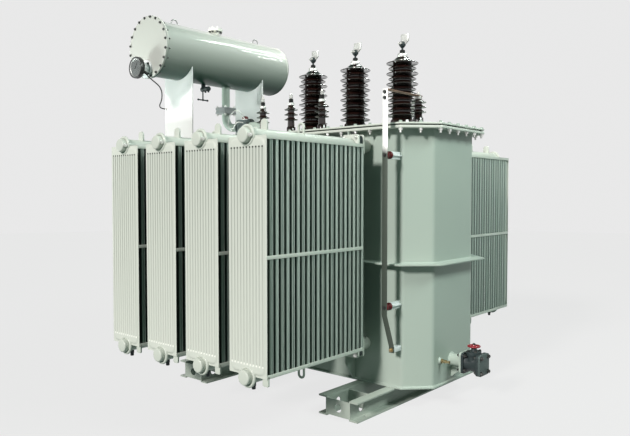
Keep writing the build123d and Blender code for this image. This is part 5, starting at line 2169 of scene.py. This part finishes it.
@dataclass
class DrainEnd:
    """The drain valve with its stub, blank cover and handwheel, and the sampling cock beside it."""

    row: float = -0.020
    level: float = 0.285
    wall: float = 1.065
    pipe_radius: float = 0.0445
    weld: float = 0.008
    stub_face: float = 1.160
    stub_edge: float = 0.0015
    body_face: float = 1.175
    body_end: float = 1.301
    body_edge: float = 0.003
    cover_face: float = 1.318
    cover_gap: float = 0.0005
    cover_edge: float = 0.002
    flange_thickness: float = 0.015
    flange_side: float = 0.145
    flange_corner: float = 0.020
    bolt_place: float = 0.052
    bolt_size: float = 0.014
    bonnet_places: Pair = (0.028, 0.036)
    bonnet_bolt: float = 0.010
    lip_top: float = 0.367
    wheel_level: float = 0.403
    wheel_radius: float = 0.040
    wheel_bar: float = 0.006
    hub: Pair = (0.013, 0.022)
    hub_edge: float = 0.002
    spokes: int = 5
    spoke_bar: float = 0.0042
    stem: Triple = (0.008, -0.044, 0.021)
    stem_nut: Triple = (0.012, 0.011, 0.017)
    sampler: Pair = (-0.183, 0.305)
    boss: Pair = (0.020, 0.014)
    boss_weld: float = 0.004
    rod: Outline = (
        (0.0, 0.014), (0.014, 0.014), (0.014, 0.024), (0.010, 0.026), (0.010, 0.034), (0.012, 0.035),
        (0.012, 0.050), (0.009, 0.052), (0.009, 0.068), (0.011, 0.069), (0.011, 0.075), (0.009, 0.076),
        (0.0, 0.076),
    )
    rod_nut: Triple = (0.016, 0.0145, 0.0225)

    def facing(self, x: float, y: float, z: float) -> Matrix:
        """Returns a frame that faces away from the end wall."""
        return seat((x, y, z), (1, 0, 0))

    def joint_bolts(self) -> None:
        """Adds the bolts through both flange joints, the blank cover's heads and the bonnet's bolts."""
        joints, cover, bonnet = [], [], []
        out = Vector((1, 0, 0))
        middle = (self.body_face + self.body_end) / 2
        faces = (
            (self.stub_face, -out), (self.body_face + self.flange_thickness, out),
            (self.body_end - self.flange_thickness, -out),
        )
        for first, second in CORNERS:
            y, z = self.row + first * self.bolt_place, self.level + second * self.bolt_place
            joints += [(Vector((x, y, z)), way) for x, way in faces]
            cover.append((Vector((self.cover_face, y, z)), out))
            dx, dy = self.bonnet_places
            bonnet.append((Vector((middle + first * dx, self.row + second * dy, self.lip_top)), UP))
        bolt("drain_joint_bolts", joints, self.bolt_size, stud=1.5, finish=Finish.DARK_FASTENER)
        bolt("drain_cover_bolts", cover, self.bolt_size, stud=1.2, finish=Finish.DARK_FASTENER)
        bolt("drain_bonnet_bolts", bonnet, self.bonnet_bolt, stud=1.2, finish=Finish.DARK_FASTENER)

    def wheel(self) -> None:
        """Builds the handwheel, which turns, and its stem and nut."""
        place = upright((self.body_face + self.body_end) / 2, self.row, self.wheel_level)
        rim = [place @ Vector((x, y, 0)) for x, y in circle(self.wheel_radius, 48)]
        solid = Solid().tube(rim, self.wheel_bar, 14, closed=True)
        radius, rise = self.hub
        solid.turn(place, drum(radius, -rise / 2, rise / 2, self.hub_edge), 24)
        for x, y in circle(1.0, self.spokes):
            start, end = (place @ Vector((x * r, y * r, 0)) for r in (radius * 0.7, self.wheel_radius))
            solid.tube([start, start.lerp(end, 0.5), end], self.spoke_bar, 10)
        solid.show("handwheel_casting", Finish.RED, ["drain_handwheel"], smooth=50, body=WHEEL_BODY)
        stem = Solid().turn(place, drum(*self.stem, self.hub_edge), 20).nut(place, *self.stem_nut)
        stem.show("handwheel_stem", Finish.DARK_FASTENER, smooth=40, body=WHEEL_BODY)

    def sampling_cock(self) -> None:
        """Builds the sampling cock on its boss."""
        place = self.facing(self.wall, *self.sampler)
        radius, reach = self.boss
        weld = self.boss_weld
        boss = Solid().turn(place, [(0.0, 0.0), (radius + weld, 0.0), *drum(radius, weld, reach)[1:]], 28)
        boss.show("sampling_boss", Finish.TANK, smooth=40)
        rod = Solid().turn(place, self.rod, 24).nut(place, *self.rod_nut)
        rod.show("sampling_cock_rod", Finish.BRASS, ["sampling_cock"], smooth=40)

    def build(self) -> None:
        """Builds the drain end."""
        radius, weld = self.pipe_radius, self.weld
        bead = [(radius, 0.0), (radius + weld, 0.0), (radius, weld), (radius, 0.0)]
        stub = Solid().copy_of("drain_stub").turn(self.facing(self.wall, self.row, self.level), bead, 40)
        stub.show("drain_stub_pipe", Finish.TANK, ["drain_stub"], self.stub_edge, smooth=40)
        round_off("drain_valve_body", "drain_valve_casting", Finish.VALVE, self.body_edge, smooth=40)
        outline = rounded_loop(self.flange_side, self.flange_side, self.flange_corner)
        place = self.facing(self.body_end, self.row, self.level)
        blank = Solid().plate(place, outline, self.cover_gap, self.cover_face - self.body_end)
        blank.show("drain_blank_plate", Finish.VALVE_COVER, ["drain_blank_cover"], self.cover_edge)
        self.joint_bolts()
        self.wheel()
        self.sampling_cock()


@dataclass
class Earthing:
    """The neutral bar, the earthing strip, its insulators and brackets."""

    x: float = 0.890
    front: float = -0.609
    strip_edge: float = 0.001
    web_thickness: float = 0.008
    web_height: float = 0.052
    web_edge: float = 0.0015
    foot_front: float = -0.523
    wall: float = -0.430
    insulator_end: float = -0.546
    levels: Pair = (0.711, 1.713)
    foot_level: float = 0.414
    joint_levels: Pair = (2.084, 2.122)
    bolt_size: float = 0.012
    foot_nut: float = 0.014
    insulator: Outline = (
        (0.0, 0.0), (0.022, 0.0), (0.026, 0.003), (0.026, 0.014), (0.022, 0.018), (0.020, 0.021),
        (0.021, 0.025), (0.024, 0.027), (0.024, 0.031), (0.021, 0.033), (0.020, 0.037),
        (0.022, 0.040), (0.026, 0.044), (0.026, 0.055), (0.022, 0.058), (0.0, 0.058),
    )

    def build(self) -> None:
        """Builds the earthing pieces."""
        round_off("neutral_bar", "neutral_flat_bar", Finish.BAR, self.strip_edge)
        round_off("earthing_strip", "earthing_flat_strip", Finish.STRIP, self.strip_edge)
        brackets, posts = Solid().copy_of("strip_brackets"), Solid()
        reach, out = self.wall - self.insulator_end, Vector((0, -1, 0))
        for level in self.levels:
            posts.turn(seat((self.x, self.insulator_end, level), out), self.insulator, 32)
            web = seat((self.x, self.wall - reach / 2, level), out)
            brackets.block(web, (self.web_thickness, self.web_height, reach))
        brackets.show("strip_bracket_plates", Finish.PALE, ["strip_brackets"], self.web_edge)
        posts.show("strip_posts", Finish.RESIN, ["strip_insulators"], smooth=50)
        dark = [(Vector((self.x, self.front, level)), out) for level in (*self.levels, *self.joint_levels)]
        bolt("strip_bolts", dark, self.bolt_size, stud=1.2, finish=Finish.DARK_FASTENER)
        foot = Vector((self.x, self.foot_front, self.foot_level))
        bolt("strip_foot_nut", [(foot, out)], self.foot_nut, stud=1.6, finish=Finish.BRASS)


@dataclass
class GaugeCable:
    """The gauge's cable, from its gland to the clip on the near support."""

    diameter: float = 0.010
    length: float = 0.613
    route: tuple[Triple, ...] = (
        (-1.4302, -0.816, 2.4849), (-1.3881, -0.816, 2.4495), (-1.358, -0.786, 2.414),
        (-1.368, -0.726, 2.386), (-1.418, -0.664, 2.358), (-1.484, -0.610, 2.328), (-1.556, -0.564, 2.292),
        (-1.624, -0.540, 2.256), (-1.650, -0.500, 2.238), (-1.650, -0.454, 2.238),
    )

    def build(self) -> None:
        """Builds the cable as a smooth round curve."""
        data = bpy.data.curves.new("gauge_cable_run", "CURVE")
        data.dimensions = "3D"
        data.bevel_depth = self.diameter / 2
        data.bevel_resolution = 4
        data.use_fill_caps = True
        spline = data.splines.new("NURBS")
        spline.points.add(len(self.route) - 1)
        for point, place in zip(spline.points, self.route):
            point.co = (*place, 1.0)
        spline.order_u = 3
        spline.use_endpoint_u = True
        spline.resolution_u = 8
        data.materials.append(Finish.JACKET.material)
        cable = add_object("gauge_cable_run", data)
        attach(cable, BODY)
        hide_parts("gauge_cable")
        log.info("gauge_cable_run: %d points", len(self.route))


@dataclass(frozen=True)
class Softbox:
    """A soft light aimed at a point."""

    name: str
    place: Triple
    target: Triple
    size: Pair
    power: float
    spread: float = 180.0
    colour: Triple = (0.90, 1.0, 0.95)

    def build(self) -> Piece:
        """Adds the light.

        Returns:
            The light.
        """
        data = bpy.data.lights.new(self.name, "AREA")
        data.shape = "RECTANGLE"
        data.size, data.size_y = self.size
        data.energy = self.power
        data.color = self.colour
        data.spread = radians(self.spread)
        light = add_object(self.name, data)
        light.location = self.place
        light.rotation_euler = (Vector(self.target) - Vector(self.place)).to_track_quat("-Z", "Y").to_euler()
        return light


@dataclass
class Studio:
    """The camera, lights, floor and backdrop."""

    eye: Triple = (3.3197, -4.1538, 1.457)
    azimuth: float = 40.5
    tilt: float = 2.1
    focal_pixels: float = 653.7
    image_width: float = 630.0
    sensor: float = 36.0
    room: float = 22.0
    wall_height: float = 16.0
    floor_colour: Triple = (0.06, 0.06, 0.06)
    floor_glow: Triple = (0.762, 0.762, 0.762)
    wall_colour: Triple = (0.0, 0.0, 0.0)
    wall_glow: Triple = (0.812, 0.812, 0.812)
    shade: Triple = (0.55, 1.0, 0.80)
    shade_strength: float = 0.15
    key_way: Triple = (0.0466, -0.8898, 0.454)
    key_angle: float = 9.0
    key_strength: float = 3.75
    key_colour: Triple = (1.0, 0.955, 0.935)
    end_box: Softbox = Softbox("end_softbox", (4.9, 0.4, 5.3), (0.6, 0.0, 1.4), (2.4, 1.6), 290.0)
    support_box: Softbox = Softbox(
        "support_softbox", (-3.4, -2.2, 1.3), (-1.47, -0.45, 2.25), (1.0, 1.0), 15.0, spread=60.0
    )
    strip_angles: Triple = (50.0, 66.0, 84.0)
    strip_distance: float = 4.0
    strip_target: Triple = (-1.473, 3.6, 2.724)
    strip_size: Pair = (3.0, 0.08)
    strip_power: float = 90.0

    def camera(self) -> None:
        """Places the camera where the photograph was taken."""
        data = bpy.data.cameras.new("photo_camera")
        data.sensor_width = self.sensor
        data.lens = self.focal_pixels / self.image_width * self.sensor
        camera = add_object("photo_camera", data)
        camera.location = self.eye
        camera.rotation_euler = (radians(90 - self.tilt), 0, radians(self.azimuth))
        bpy.context.scene.camera = camera

    def lights(self) -> None:
        """Adds the key light from the near side, the softboxes and the streaks on the drum."""
        data = bpy.data.lights.new("key_light", "SUN")
        data.energy = self.key_strength
        data.angle = radians(self.key_angle)
        data.color = self.key_colour
        key = add_object("key_light", data)
        key.rotation_euler = (-Vector(self.key_way)).to_track_quat("-Z", "Y").to_euler()
        self.end_box.build()
        for number, angle in enumerate(self.strip_angles):
            way = Vector((cos(radians(angle)), 0, sin(radians(angle)))) * self.strip_distance
            place = tuple(Vector(self.strip_target) + way)
            name = f"drum_strip_{number}"
            strip = Softbox(name, place, self.strip_target, self.strip_size, self.strip_power)
            strip.build().visible_diffuse = False
        self.support_box.build()

    def room_piece(self, name: str, solid: Solid, colour: Triple, glow: Triple) -> None:
        """Adds the floor or the wall, which the camera sees but which throws no light on the plant.

        Args:
            name: The piece's name.
            solid: Its faces.
            colour: Its own colour.
            glow: The colour that it glows in.
        """
        data = solid.data(name)
        data.materials.append(Paint(name).close({
            "Base Color": (*colour, 1.0), "Roughness": 1.0, "Specular IOR Level": 0.0,
            "Emission Color": (*glow, 1.0), "Emission Strength": 1.0,
        }))
        piece = add_object(name, data)
        piece.visible_diffuse = False
        piece.visible_shadow = False

    def build(self) -> None:
        """Builds the studio."""
        self.camera()
        ring = [Vector((x, y, 0)) for x, y in circle(self.room, 64)]
        floor = Solid()
        floor.mesh.faces.new([floor.mesh.verts.new(point) for point in ring])
        self.room_piece("studio_floor", floor, self.floor_colour, self.floor_glow)
        wall = Solid().skin([ring, [point + self.wall_height * UP for point in ring]], capped=False)
        self.room_piece("studio_wall", wall, self.wall_colour, self.wall_glow)
        world = bpy.data.worlds.new("studio")
        bpy.context.scene.world = world
        world.use_nodes = True
        background = world.node_tree.nodes["Background"].inputs
        background["Color"].default_value = (*self.shade, 1.0)
        background["Strength"].default_value = self.shade_strength
        self.lights()
        bpy.context.scene.view_settings.view_transform = "Standard"


def main() -> None:
    """Builds every sub-assembly in order."""
    logging.basicConfig(level=logging.INFO, format="%(name)s: %(message)s")
    banks = []
    for side in ("near", "far"):
        banks += [PipeJoints(side), *(Radiator(f"radiator_{side}_{number}") for number in (1, 2, 3, 4))]
    assemblies = (
        Studio(), Tank(), Skids(), *banks, TallBushings(), SmallBushings(), Conservator(), OilGauge(),
        GaugeCable(), OilLine(), ReliefValve(), DrainEnd(), Earthing(),
    )
    for assembly in assemblies:
        assembly.build()


if __name__ == "__main__":
    main()
